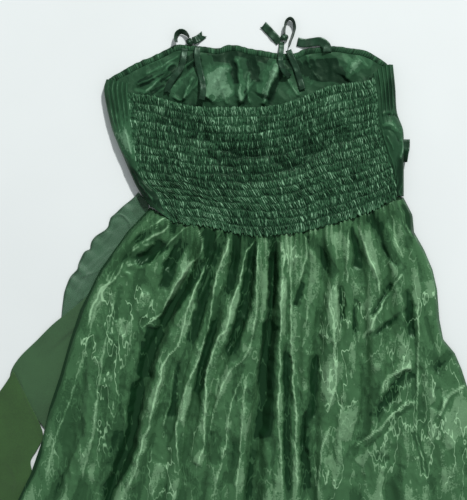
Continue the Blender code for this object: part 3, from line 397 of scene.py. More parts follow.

# Broad bands of painted shade and painted light on the skirt, which also lower and raise it: tone,
# half width, points
SKIRT_SHADES = (
    (-0.7, 5.0, ((188, 38), (195, 20), (199, 3), (204, -8))),
    (-0.26, 10.0, ((136, 22), (150, 18), (163, 8))),
    (-0.24, 9.0, ((176, 32), (190, 22), (198, 2))),
    (-0.66, 8.0, ((-160, -37), (-148, -34), (-136, -25), (-123, -12))),
    (-0.3, 4.0, ((-114, -2), (-112, 6), (-106, 11))),
    (-0.3, 4.0, ((-126, 10), (-138, 2), (-150, -5), (-162, -14))),
    (-0.4, 5.5, ((-105, -22), (-113, -34), (-124, -48))),
    (-0.34, 6.0, ((-72, 2), (-62, -10), (-62, -28))),
    (-0.14, 7.8, ((-143, -5), (-172, -26), (-198, -47), (-218, -70), (-234, -96), (-246, -133),
                (-255, -166))),
    (-0.2, 3.2, ((-183, -69), (-185, -95), (-190, -117))),
    (-0.38, 7.8, ((-62, 5), (-70, -23), (-78, -42), (-91, -66), (-104, -86), (-120, -105),
                (-133, -122))),
    (-0.38, 11.7, ((-135, -125), (-143, -147), (-146, -169), (-153, -192))),
    (-0.4, 7.8, ((-159, -192), (-162, -225), (-166, -260), (-172, -290), (-185, -316),
                (-203, -338), (-213, -351))),
    (-0.18, 7.8, ((-185, -257), (-187, -283), (-195, -309))),
    (-0.34, 6.5, ((-96, -10), (-108, -31), (-118, -53), (-126, -78))),
    (-0.38, 6.8, ((-44, 5), (-49, -5), (-57, -26), (-66, -49), (-73, -75), (-79, -104),
                (-88, -134), (-96, -153))),
    (-0.26, 4.5, ((-107, -166), (-110, -199), (-113, -221), (-117, -244))),
    (-0.34, 7.2, ((-31, 3), (-31, -17), (-31, -39), (-36, -65), (-44, -88))),
    (-0.38, 7.8, ((-16, 3), (-13, -10), (-14, -39), (-16, -69), (-18, -91), (-26, -117),
                (-34, -143), (-39, -166))),
    (-0.3, 5.5, ((-62, -112), (-66, -140), (-73, -166), (-78, -195), (-82, -213))),
    (-0.22, 5.2, ((-60, -257), (-57, -277), (-60, -303))),
    (-0.18, 5.2, ((-31, -270), (-34, -299), (-42, -329))),
    (-0.44, 5.2, ((16, 0), (17, -39), (17, -69), (14, -101))),
    (-0.46, 9.8, ((13, -114), (10, -147), (9, -182), (9, -218), (6, -251), (1, -277))),
    (-0.24, 5.2, ((-5, -281), (-13, -309), (-17, -342))),
    (-0.32, 4.5, ((57, -65), (51, -84), (47, -99))),
    (-0.36, 5.2, ((35, -153), (35, -192), (36, -231), (35, -270), (36, -309), (36, -348))),
    (-0.36, 6.5, ((70, -156), (69, -192), (68, -221), (60, -251), (58, -283), (60, -322),
                (61, -348))),
    (-0.3, 6.5, ((62, -3), (72, -17), (81, -31), (88, -44), (99, -60))),
    (-0.34, 5.9, ((112, 5), (121, -10), (127, -31), (126, -52))),
    (-0.34, 5.9, ((151, 13), (161, -5), (166, -21), (176, -39), (179, -47))),
    (-0.3, 3.9, ((103, -69), (107, -95), (108, -117))),
    (-0.3, 3.9, ((126, -86), (122, -112), (124, -134))),
    (-0.28, 3.9, ((172, -68), (156, -88), (143, -112))),
    (-0.24, 3.9, ((179, -112), (161, -122), (140, -135))),
    (-0.32, 6.5, ((186, -75), (194, -99), (194, -121), (195, -140))),
    (-0.16, 10.4, ((214, -108), (213, -147), (216, -186))),
    (-0.26, 5.2, ((250, -156), (234, -169), (226, -182))),
    (-0.3, 6.5, ((198, -182), (182, -195), (166, -216), (153, -231), (143, -247))),
    (-0.24, 5.2, ((148, -199), (140, -231), (138, -255), (126, -277), (114, -294))),
    (-0.24, 5.2, ((229, -199), (231, -218), (224, -231))),
    (-0.22, 6.5, ((151, -290), (166, -299))),
    (-0.24, 4.5, ((198, -257), (208, -286), (213, -320))),
    (0.08, 9.1, ((-199, -65), (-204, -88), (-211, -112), (-218, -140), (-231, -169),
                (-244, -195))),
    (0.15, 7.8, ((-174, -112), (-185, -134), (-202, -153), (-212, -179))),
    (0.22, 7.8, ((-200, -185), (-203, -200))),
    (0.15, 10.4, ((-203, -218), (-211, -247), (-216, -278), (-221, -307), (-231, -328))),
    (0.14, 9.1, ((-148, -78), (-153, -96), (-136, -99))),
    (0.16, 7.2, ((-91, -39), (-99, -57), (-114, -78), (-124, -95))),
    (0.15, 5.2, ((-52, 5), (-56, -5), (-64, -31), (-74, -60), (-84, -88), (-96, -114),
                (-107, -140), (-120, -169), (-130, -195), (-140, -221), (-147, -247), (-152, -276),
                (-160, -299), (-166, -325), (-179, -344))),
    (0.15, 5.2, ((-39, 5), (-42, -5), (-49, -36), (-56, -69), (-58, -88))),
    (0.15, 5.2, ((-65, -112), (-74, -138), (-83, -161), (-91, -186), (-95, -218), (-103, -250),
                (-112, -270), (-114, -296))),
    (0.2, 5.2, ((-91, -199), (-96, -225), (-103, -247))),
    (0.15, 5.2, ((-9, 0), (-18, -23), (-23, -47), (-29, -73), (-35, -94), (-43, -117), (-52, -140),
                (-60, -166), (-65, -192), (-70, -221), (-72, -251), (-73, -277))),
    (0.22, 8.5, ((5, 1), (4, -39), (1, -69), (-3, -95), (-8, -117), (-14, -140))),
    (0.16, 5.9, ((-14, -143), (-21, -164), (-34, -174), (-49, -195), (-57, -221))),
    (0.14, 4.5, ((-18, -182), (-21, -212), (-22, -244), (-23, -283), (-27, -316), (-31, -344))),
    (0.14, 5.2, ((-31, -218), (-40, -244), (-46, -273), (-49, -299), (-56, -329))),
    (0.24, 9.1, ((-129, -299), (-134, -322), (-133, -348))),
    (0.2, 6.5, ((-74, -283), (-83, -302))),
    (0.16, 6.0, ((36, 3), (40, -30), (43, -52), (42, -75))),
    (0.2, 4.5, ((31, -60), (30, -88), (30, -114), (28, -138))),
    (0.1, 3.0, ((27, -143), (26, -179), (26, -218), (26, -270), (26, -346))),
    (0.08, 2.6, ((43, -140), (43, -166), (43, -199), (46, -231), (47, -270), (46, -322),
                 (46, -348))),
    (0.1, 5.2, ((56, -153), (56, -182))),
    (0.24, 7.8, ((92, -78), (95, -104), (98, -127), (96, -147))),
    (0.16, 13.0, ((94, -166), (96, -199), (101, -225))),
    (0.18, 7.8, ((109, -231), (112, -251), (104, -270))),
    (0.17, 6.4, ((125, 13), (138, -21), (147, -42), (155, -62))),
    (0.2, 7.8, ((96, 0), (104, -16), (104, -39))),
    (-0.3, 5.9, ((-70, 0), (-65, -23), (-70, -47))),
    (0.16, 4.5, ((-84, 3), (-77, -14), (-77, -39))),
    (0.14, 5.2, ((179, 0), (182, -18), (185, -34))),
    (-0.26, 4.5, ((192, -5), (190, -23))),
    (0.18, 10.4, ((218, -62), (221, -86))),
    (0.1, 15.6, ((162, -147), (176, -164))),
    (0.18, 5.2, ((198, -174), (179, -177), (166, -190), (156, -211))),
    (0.12, 10.4, ((182, -244), (172, -260), (162, -270))),
    (0.2, 7.8, ((138, -281), (125, -299))),
    (0.14, 18.2, ((250, -199), (250, -244), (234, -277))),
    (0.14, 18.2, ((240, -303), (254, -335))),
    (0.2, 6.5, ((88, -290), (91, -320), (86, -344))),
    (0.1, 7.8, ((133, -101), (135, -88))),
)
# Where the satin is creased into fine veins of painted highlight: strength, half width, points
VEIN_PATCHES = (
    (-0.4, 13.0, ((-166, -30), (-146, -30), (-118, -10))),
    (0.9, 20.8, ((-203, -69), (-211, -114), (-224, -166))),
    (0.8, 18.2, ((-185, -127), (-198, -186), (-213, -244), (-218, -296))),
    (0.8, 15.6, ((-150, -69), (-159, -101), (-133, -101))),
    (0.7, 15.6, ((-114, -270), (-130, -316), (-104, -342))),
    (0.6, 13.0, ((-91, -199), (-101, -251), (-75, -283))),
    (0.5, 10.4, ((34, -17), (42, -49))),
    (0.8, 18.2, ((98, -75), (98, -127), (96, -192), (109, -244))),
    (0.6, 10.4, ((133, -88), (135, -127))),
    (0.9, 26.0, ((221, -69), (214, -127))),
    (0.9, 28.6, ((244, -179), (242, -257), (234, -335))),
    (0.5, 28.6, ((169, -147), (182, -257), (156, -322))),
    (0.7, 18.2, ((91, -290), (88, -342))),
    (0.5, 20.8, ((-244, -244), (-252, -296))),
)

# Layers that show at the left beneath the skirt: free edge and hidden edge, x, y
RUFFLE_FREE = ((-158.8, 52), (-166, 44), (-176, 36), (-188, 25), (-195, 18), (-198, 8), (-203, 2),
               (-214, -5), (-220, -13), (-222, -22), (-229, -26), (-236, -39), (-238, -48),
               (-247, -58), (-254, -74), (-257, -91), (-259, -110))
RUFFLE_HIDDEN = ((-150.2, 43), (-145.2, 35), (-150, 14), (-167, -14), (-187, -50), (-215, -98),
                 (-249, -126))
RUFFLE_WAVES = 10
RUFFLE_RISE = 1.7
UPPER_FREE = ((-185, -36), (-205, -62), (-228, -86), (-260, -112), (-272, -122), (-290, -140),
              (-315, -165), (-326, -186), (-321, -208))
UPPER_HIDDEN = ((-178, -42), (-189, -60), (-213, -108), (-231, -153), (-244, -199),
                (-257, -238), (-272, -268))
LOWER_FREE = ((-322, -182), (-338, -206), (-377, -257), (-396, -322), (-416, -426),
              (-432, -530), (-436, -608), (-423, -664))
LOWER_HIDDEN = ((-320, -184), (-300, -224), (-283, -262), (-289, -281), (-299, -299),
                (-296, -320), (-301, -348), (-319, -426), (-350, -530), (-400, -664))
OVERLAY_LIFT = 1.9
OVERLAP = 20.0
LAYER_THICK = 0.25
# Tone that the layers' rolled hem adds, column by column from the free edge
HEM_TONE = (0.34, 0.34, 0.14)
# Where the ruffle lies double, then its fine fold lines, painted lighter and darker: tone, half
# width, points
RUFFLE_SHADES = (
    (0.13, 5.0, ((-166, 31), (-157, 22), (-150, 12))),
    (0.10, 6.0, ((-157, 41), (-149, 30))),
    (0.26, 6.0, ((-157, 49), (-149, 39), (-147, 31))),
    (0.10, 7.0, ((-150, 8), (-168, -20), (-190, -60))),
    (-0.08, 1.6, ((-172, -7), (-198, -23), (-216, -38), (-234, -53))),
    (-0.07, 1.4, ((-182, -20), (-200, -32), (-215, -46), (-232, -66), (-244, -82))),
    (0.07, 1.8, ((-186, 14), (-198, -8), (-214, -24))),
    (-0.07, 1.3, ((-174, 12), (-190, 4), (-203, -12))),
    (0.07, 1.8, ((-206, -52), (-224, -72), (-240, -98))),
)
# Creases of the layers: height, half width, points
LAYER_CREASES = (
    (1.6, 2.0, ((-208, -8), (-200, 14), (-184, 22), (-170, 10), (-176, -10), (-190, -20))),
    (1.2, 2.0, ((-236, -60), (-214, -52), (-196, -36))),
    (1.0, 2.0, ((-240, -92), (-222, -80), (-206, -62))),
    (0.9, 2.4, ((-330, -300), (-318, -322), (-322, -348))),
    (0.8, 2.4, ((-312, -190), (-304, -220), (-290, -252))),
    (0.8, 3.0, ((-380, -300), (-352, -330), (-340, -380))),
    (-0.7, 3.0, ((-400, -420), (-372, -470), (-380, -540))),
)

# Ribbon routes: width, points of x, y, lean in degrees (0 lies flat, 90 stands on its edge)
RIBBON_WIDTH = 9.0
TAIL_WIDTH = 8.0
RIBBON_THICK = 1.2
RIBBON_STEP = 1.6
# Once round a ribbon's section: place across it and rise off its middle, in halves of its size
RIBBON_SECTION = ((-1.0, 0.0), (-0.94, 0.9), (-0.6, 0.62), (0.0, 0.42), (0.6, 0.62), (0.94, 0.9),
                  (1.0, 0.0), (0.94, -0.9), (0.0, -0.5), (-0.94, -0.9))
NOTCH_RINGS = 3
LAYER_GAP = 0.35
LEFT_KNOT = (-91, 248.3)
CENTER_KNOT = (32, 254)
KNOT_SIZE = (9.5, 9.0, 5.6)
RIBBONS = {
    "bow_left_loop": (RIBBON_WIDTH, ((-92.3, 253.4, 80), (-96, 258.5, 62), (-102.5, 261.5, 52),
                                     (-108, 258.5, 52), (-109.5, 252, 60), (-109, 247, 70))),
    "bow_left_end": (10.0, ((-87.2, 249.2, 0), (-82, 251.4, 0), (-77, 254.8, 0),
                            (-72.6, 258.8, 0))),
    "bow_left_tail_inner": (TAIL_WIDTH, ((-81.5, 241, 0), (-82, 232, 0), (-81, 221, 0),
                                         (-78, 208, 0), (-75, 195, 0), (-74, 182, 0),
                                         (-76, 171, 0))),
    "bow_left_tail_outer": (TAIL_WIDTH, ((-98, 239, 0), (-99.5, 226, 0), (-103, 213, 0),
                                         (-112, 201, 0), (-119, 189, 0), (-121, 180, 0))),
    "bow_center_loop": (RIBBON_WIDTH, ((37.5, 241, 80), (39.5, 248, 76), (42.5, 256, 73),
                                       (45, 265, 72), (44, 273.5, 70), (39.6, 278.2, 70),
                                       (35, 275.5, 72), (32.6, 268, 76), (32.2, 259.3, 80))),
    "bow_center_end": (10.5, ((25.6, 248, 0), (19, 255, 0), (11.5, 263, 0), (3.9, 271, 0))),
    "bow_center_tail_left": (7.0, ((28.6, 248.4, 0), (27.6, 236, 0), (26.5, 221, 0),
                                   (31, 209, 0), (39, 202, 0))),
    "bow_center_tail_right": (TAIL_WIDTH, ((37, 237, 0), (41, 227, 0), (47, 214, 0),
                                           (51, 202, 0), (55.5, 185, 0))),
    "strap_right": (11.5, ((87.5, 234, 0), (86.5, 242, 0), (79, 248, 0), (68, 247.6, 0),
                           (58, 246.6, 0), (49, 248.5, 0))),
    "side_ribbon": (RIBBON_WIDTH, ((191.3, 121, 0), (191.2, 113, -8), (190.6, 106, -32),
                                   (189.8, 98, -52), (189.1, 91, -64))),
}
NOTCHED_ENDS = ("bow_left_end", "bow_center_end", "bow_left_tail_outer")

# Stage, in metres
BOARD_REACH = 6.0
BOARD_DROP = 0.0004
ROOM_TINT = (0.93, 0.98, 1.0, 1.0)
KEY_SIZE = 0.36
KEY_PLACE = (1.5, 3.85, 3.75)
# Height over the surface at which the photo's scale is meant
SCALE_LEVEL = 0.008


def linear(colour):
    """An sRGB hex colour as linear red, green and blue."""
    parts = [int(colour[i:i + 2], 16) / 255 for i in (1, 3, 5)]
    return tuple(c / 12.92 if c <= 0.04045 else ((c + 0.055) / 1.055) ** 2.4 for c in parts)


def colour_property(name, description, colour):
    """A colour that a user may change."""
    return FloatVectorProperty(name=name, description=description, subtype="COLOR", size=3,
                               min=0.0, max=1.0, default=linear(colour))


class DressSizes(bpy.types.PropertyGroup):
    """Sizes of the dress that a user may change."""

    gathers: IntProperty(
        name="Gathers", description="Gathers across the shirred back", default=128, min=40,
        max=160)
    elastic_rows: IntProperty(
        name="Elastic rows", description="Bands between rows of elastic thread", default=16,
        min=8, max=24)
    gather_height: FloatProperty(
        name="Gather height", description="Height of the puckers between elastic rows",
        default=0.0017, min=0.0005, max=0.004, unit="LENGTH", precision=4)
    side_pleats: IntProperty(
        name="Side pleats", description="Pleats down each side panel", default=5, min=2, max=9)
    casing_width: FloatProperty(
        name="Casing width", description="Width of the gathered front neckline",
        default=0.009, min=0.005, max=0.02, unit="LENGTH", precision=4)
    casing_gathers: IntProperty(
        name="Casing gathers", description="Gathers along the front neckline", default=120,
        min=40, max=240)
    crinkle: FloatProperty(
        name="Crinkle height", description="Height of the fine crinkles in the satin",
        default=0.0011, min=0.0, max=0.003, unit="LENGTH", precision=4)


class DressColours(bpy.types.PropertyGroup):
    """Colours of the dress that a user may change."""

    # Deep is painted shade down in the folds, and light is a painted highlight along crests and
    # crinkles; the middle one is the satin's own colour.
    satin_painted_shade: colour_property("Satin, deep", "Satin down in the folds", "#12301a")
    satin_mid: colour_property("Satin, middle", "Satin on flat stretches", "#3e6442")
    satin_painted_highlight: colour_property("Satin, light", "Satin along crests and crinkles", "#93bb92")
    # Deep is painted shade in the bodice's folds, and light is a painted highlight on its ridges;
    # the middle one is its own colour.
    bodice_painted_shade: colour_property("Bodice, deep", "Satin of the bodice in its folds", "#11281a")
    bodice_mid: colour_property("Bodice, middle", "Satin of the bodice where flat", "#335a3e")
    bodice_painted_highlight: colour_property("Bodice, light", "Satin of the bodice on ridges", "#8ab492")
    organza: colour_property("Organza", "Sheer ruffle", "#3d6247")
    crepe: colour_property("Crepe", "Matt under-layers", "#2f5030")
    crepe_olive: colour_property("Crepe, olive", "Lowest under-layer", "#2c4e22")
    ribbon: colour_property("Ribbon", "Bows and strap", "#15301f")
    thread: colour_property("Thread", "Elastic thread and stitches", "#2d5b3b")
    floor: colour_property("Surface", "Pale surface that the dress lies on", "#e8edec")


class DressStage(bpy.types.PropertyGroup):
    """Camera and light settings that a user may change."""

    lens: FloatProperty(
        name="Lens", description="Focal length of the camera", default=85.0, min=35.0,
        max=200.0, subtype="DISTANCE_CAMERA")
    key_power: FloatProperty(
        name="Key light", description="Power of the light from the top right", default=290.0,
        min=0.0, max=900.0, subtype="POWER")
    sky: FloatProperty(
        name="Room light", description="Strength of the even room light", default=0.4,
        min=0.0, max=3.0)


# Shapes

def ease(value):
    """0 to 1 with a soft start and end."""
    value = np.clip(value, 0.0, 1.0)
    return value * value * (3.0 - 2.0 * value)


def curve(points):
    """A smooth curve through the points, read by the share of its length."""
    through = np.array(points, float)
    knots = np.vstack([2 * through[0] - through[1], through, 2 * through[-1] - through[-2]])
    dense = []
    for a, b, c, d in zip(knots, knots[1:], knots[2:], knots[3:]):
        for t in np.linspace(0, 1, 12, endpoint=False):
            dense.append(0.5 * (2 * b + (c - a) * t + (2 * a - 5 * b + 4 * c - d) * t ** 2
                                + (3 * b - a - 3 * c + d) * t ** 3))
    dense = np.array(dense + [through[-1]])
    steps = np.linalg.norm(np.diff(dense, axis=0), axis=1)
    share = np.concatenate([[0.0], np.cumsum(steps)]) / steps.sum()
    return lambda t: np.stack([np.interp(t, share, column) for column in dense.T], axis=-1)


def line_length(points):
    """Length of a run of points."""
    return float(np.linalg.norm(np.diff(np.array(points), axis=0), axis=1).sum())


def table_value(places, values, at):
    """A smooth value between the rows of a table whose places rise."""
    slope = np.gradient(values, places)
    row = int(np.clip(np.searchsorted(places, at) - 1, 0, len(places) - 2))
    span = places[row + 1] - places[row]
    t = (min(max(at, places[0]), places[-1]) - places[row]) / span
    return ((2 * t ** 3 - 3 * t ** 2 + 1) * values[row]
            + (t ** 3 - 2 * t ** 2 + t) * span * slope[row]
            + (3 * t ** 2 - 2 * t ** 3) * values[row + 1]
            + (t ** 3 - t ** 2) * span * slope[row + 1])


def outline_x(outline, y):
    """Where an outline that runs down the dress stands at y."""
    falling = np.array(outline, float)[::-1]
    return np.interp(y, falling[:, 1], falling[:, 0])


def outline_y(outline, x):
    """Where an outline that runs across the dress stands at x."""
    across = np.array(outline, float)
    return np.interp(x, across[:, 0], across[:, 1])


def to_line(points, x, y):
    """Distance from each x, y to a line of points, and the share along it of the near place."""
    points = np.array(points, float)
    lengths = np.linalg.norm(np.diff(points, axis=0), axis=1)
    starts = np.concatenate([[0.0], np.cumsum(lengths)])
    best, share = np.full(x.shape, np.inf), np.zeros(x.shape)
    for i, (a, b) in enumerate(zip(points, points[1:])):
        along = b - a
        t = np.clip(((x - a[0]) * along[0] + (y - a[1]) * along[1]) / (along @ along), 0, 1)
        gap = np.hypot(x - a[0] - t * along[0], y - a[1] - t * along[1])
        near = gap < best
        best = np.where(near, gap, best)
        share = np.where(near, (starts[i] + t * lengths[i]) / starts[-1], share)
    return best, share


def noise_at(x, y, size, seed, stretch=1.0):
    """Smooth noise, about -1 to 1, with bumps about size mm wide and stretch times as long."""
    places = zip((x / size).ravel(), (y / (size * stretch)).ravel())
    return np.array([noise.noise((a, b, seed)) for a, b in places]).reshape(x.shape)


def crumple(x, y, size, seed, stretch=1.0):
    """Crumpled cloth: sharp ridges between soft dips, from 0 to 1."""
    return 1.0 - np.clip(2.2 * np.abs(noise_at(x, y, size, seed, stretch)), 0, 1)


def strokes(table, x, y, warp=1.6):
    """For each row of a table of strokes: its amount, the points it reaches, and how far off
    its middle they are in half widths, with its fade at both ends."""
    x_bent = x + warp * noise_at(x, y, 13.0, 4.7) + 0.5 * warp * noise_at(x, y, 5.0, 9.2)
    x_bent += 0.35 * warp * noise_at(x, y, 2.4, 5.1, 1.6)
    y_bent = y + warp * noise_at(x, y, 15.0, 6.1)
    for amount, half, points in table:
        reach = 2.6 * half
        low, high = np.min(points, axis=0) - reach, np.max(points, axis=0) + reach
        near = (x_bent > low[0]) & (x_bent < high[0]) & (y_bent > low[1]) & (y_bent < high[1])
        if near.any():
            smooth = curve(points)(np.linspace(0, 1, 4 * len(points)))
            gap, share = to_line(smooth, x_bent[near], y_bent[near])
            yield amount, near, gap / half, ease(share * 12 + 0.3) * ease((1 - share) * 8)


def shade_bands(table, x, y, warp=2.4):
    """Tone that broad listed bands add at x, y: even across, with ragged edges."""
    tone = np.zeros(x.shape)
    x = x + 1.6 * noise_at(x, y, 4.2, 7.9, 2.5)
    for amount, near, gap, fade in strokes(table, x, y, warp):
        tone[near] += amount * np.exp(-0.6 * gap ** 6) * fade
    return tone


def creases(table, x, y, warp=1.6):
    """Height and tone that listed ridges and troughs add at x, y."""
    height, tone = np.zeros(x.shape), np.zeros(x.shape)
    flicker = 0.85 + 0.7 * noise_at(x, y, 9.0, 2.9)
    for rise, near, gap, fade in strokes(table, x, y, warp):
        broad, sharp = fade * np.exp(-gap ** 2), fade * np.exp(-(gap / 0.43) ** 2)
        height[near] += rise * (0.5 * broad + 0.25 * sharp)
        strength = min(1.0, abs(rise) / 2.2)
        # Ridges get a thin painted highlight, and troughs a broad painted shade.
        tone[near] += strength * (0.7 * sharp * flicker[near] if rise > 0 else -0.16 * broad)
    return height, tone


def coons_patch(top, bottom, left, right, u, v):
    """Points of a patch with four curved sides, for u across and v down it."""
    across = (1 - v)[:, None, None] * top(u)[None] + v[:, None, None] * bottom(u)[None]
    down = (1 - u)[None, :, None] * left(v)[:, None] + u[None, :, None] * right(v)[:, None]
    sides = np.array([0.0, 1.0])
    (a, b), (c, d) = top(sides), bottom(sides)
    u_grid, v_grid = np.meshgrid(u, v)
    u_grid, v_grid = u_grid[..., None], v_grid[..., None]
    corners = ((1 - u_grid) * (1 - v_grid) * a + u_grid * (1 - v_grid) * b
               + (1 - u_grid) * v_grid * c + u_grid * v_grid * d)
    return across + down - corners


# Meshes

def mesh_of(name, points, faces):
    """A mesh of faces through points in millimetres."""
    mesh = bpy.data.meshes.new(name)
    mesh.from_pydata((points.reshape(-1, 3) * MM).tolist(), [], faces)
    return mesh


def cloth_object(name, grid, material, tone=0.5, veins=0.3):
    """A sheet through a grid of points whose rows run down the dress and columns to the right."""
    rows, columns = grid.shape[:2]
    index = np.arange(rows * columns).reshape(rows, columns)
    quads = np.stack([index[:-1, :-1], index[1:, :-1], index[1:, 1:], index[:-1, 1:]], axis=-1)
    quads = quads.reshape(-1, 4)
    mesh = mesh_of(name, grid, quads.tolist())
    across = np.linalg.norm(np.diff(grid, axis=1), axis=2).mean(axis=0)
    down = np.linalg.norm(np.diff(grid, axis=0), axis=2).mean(axis=1)
    u = np.concatenate([[0.0], np.cumsum(across)]) * MM
    v = np.concatenate([[0.0], np.cumsum(down)]) * MM
    places = np.stack(np.meshgrid(u, v), axis=-1).reshape(-1, 2)
    layer = mesh.uv_layers.new(name="Cloth")
    layer.data.foreach_set("uv", places[quads.ravel()].astype(np.float32).ravel())
    finish_mesh(mesh, material, tone, veins)
    return link_object(name, mesh)


def finish_mesh(mesh, material, tone=0.5, veins=0.3):
    """Smooth faces, the cloth's material, and the tone and veins that its shader reads."""
    mesh.shade_smooth()
    mesh.materials.append(material)
    # The tone carries painted light and shade, and in the organza its density; the veins are
    # painted highlights.
    for name, values in (("tone", tone), ("veins", veins)):
        values = np.ravel(values) + np.zeros(len(mesh.vertices))
        attribute = mesh.attributes.new(name, "FLOAT", "POINT")
        attribute.data.foreach_set("value", np.clip(values, 0, 1.2).astype(np.float32))


def link_object(name, mesh):
    """An object of the mesh in the scene."""
    thing = bpy.data.objects.new(name, mesh)
    bpy.context.scene.collection.objects.link(thing)
    return thing


def rings_object(name, rings, material, tone=0.5):
    """A closed bar through rings of points, capped at its ends."""
    rings = np.array(rings, float)
    count, size = rings.shape[:2]
    faces = [tuple(range(size)), tuple(range((count - 1) * size, count * size))[::-1]]
    for row in range(count - 1):
        for side in range(size):
            a, b = row * size + side, row * size + (side + 1) % size
            faces.append((a, a + size, b + size, b))
    mesh = mesh_of(name, rings, faces)
    shape = bmesh.new()
    shape.from_mesh(mesh)
    bmesh.ops.recalc_face_normals(shape, faces=shape.faces)
    shape.to_mesh(mesh)
    shape.free()
    finish_mesh(mesh, material, tone)
    return link_object(name, mesh)


def stitches_object(name, starts, ends, radius, material):
    """Short stitches as four-sided bars from starts to ends, joined in one mesh."""
    starts, ends = np.array(starts, float), np.array(ends, float)
    along = ends - starts
    along /= np.linalg.norm(along, axis=1, keepdims=True)
    side = np.cross(along, [0.0, 0.0, 1.0])
    side /= np.linalg.norm(side, axis=1, keepdims=True)
    up = np.cross(side, along)
    corners = [side, up, -side, -up]
    middle = 0.5 * (starts + ends)
    rings = [starts + 0.4 * radius * c for c in corners]
    rings += [middle + radius * (c + 0.5 * up) for c in corners]
    rings += [ends + 0.4 * radius * c for c in corners]
    faces = []
    for k in range(len(starts)):
        base = 12 * k
        faces += [(base + 3, base + 2, base + 1, base), (base + 8, base + 9, base + 10, base + 11)]
        for ring in (0, 4):
            for i in range(4):
                a, b = base + ring + i, base + ring + (i + 1) % 4
                faces.append((a, b, b + 4, a + 4))
    mesh = mesh_of(name, np.stack(rings, axis=1), faces)
    finish_mesh(mesh, material)
    return link_object(name, mesh)


def thicken(thing, thickness):
    """Gives a sheet the cloth's own thickness, below its face."""
    solid = thing.modifiers.new("Cloth thickness", "SOLIDIFY")
    solid.thickness = thickness * MM
    solid.offset = -1.0
    solid.use_even_offset = False


def place(thing, slot, *nodes):
    """The piece rides on the dress and stands for its CAD nodes, which it hides; its slot is not
    used.
    """
    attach(thing, BODY)
    if nodes:
        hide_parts(*nodes)


# Materials

def node(tree, kind, inputs=(), stops=(), **settings):
    """Adds a node with its settings and inputs: a socket is linked, and anything else is set."""
    made = tree.nodes.new(kind)
    for key, value in settings.items():
        setattr(made, key, value)
    for key, value in (inputs.items() if isinstance(inputs, dict) else enumerate(inputs)):
        if isinstance(value, bpy.types.NodeSocket):
            tree.links.new(value, made.inputs[key])
        else:
            made.inputs[key].default_value = value
    for i, (position, colour) in enumerate(stops):
        element = made.color_ramp.elements[i] if i < 2 else made.color_ramp.elements.new(position)
        element.position = position
        element.color = (*colour, 1.0)
    return made.outputs[0]


def new_material(name, **constants):
    """A material with a Principled shader whose constant sockets are set. Gives tree, shader."""
    material = bpy.data.materials.new(name)
    material.use_nodes = True
    tree = material.node_tree
    shader = tree.nodes["Principled BSDF"]
    for key, value in constants.items():
        shader.inputs[key.replace("_", " ")].default_value = value
    return material, tree, shader


def shades(colour, dark, pale):
    """A darker and a paler shade of a linear colour."""
    return tuple(min(1.0, dark * c) for c in colour), tuple(min(1.0, pale * c) for c in colour)


def between(first, second, share):
    """The colour that far from the first to the second."""
    return tuple(a + (b - a) * share for a, b in zip(first, second))


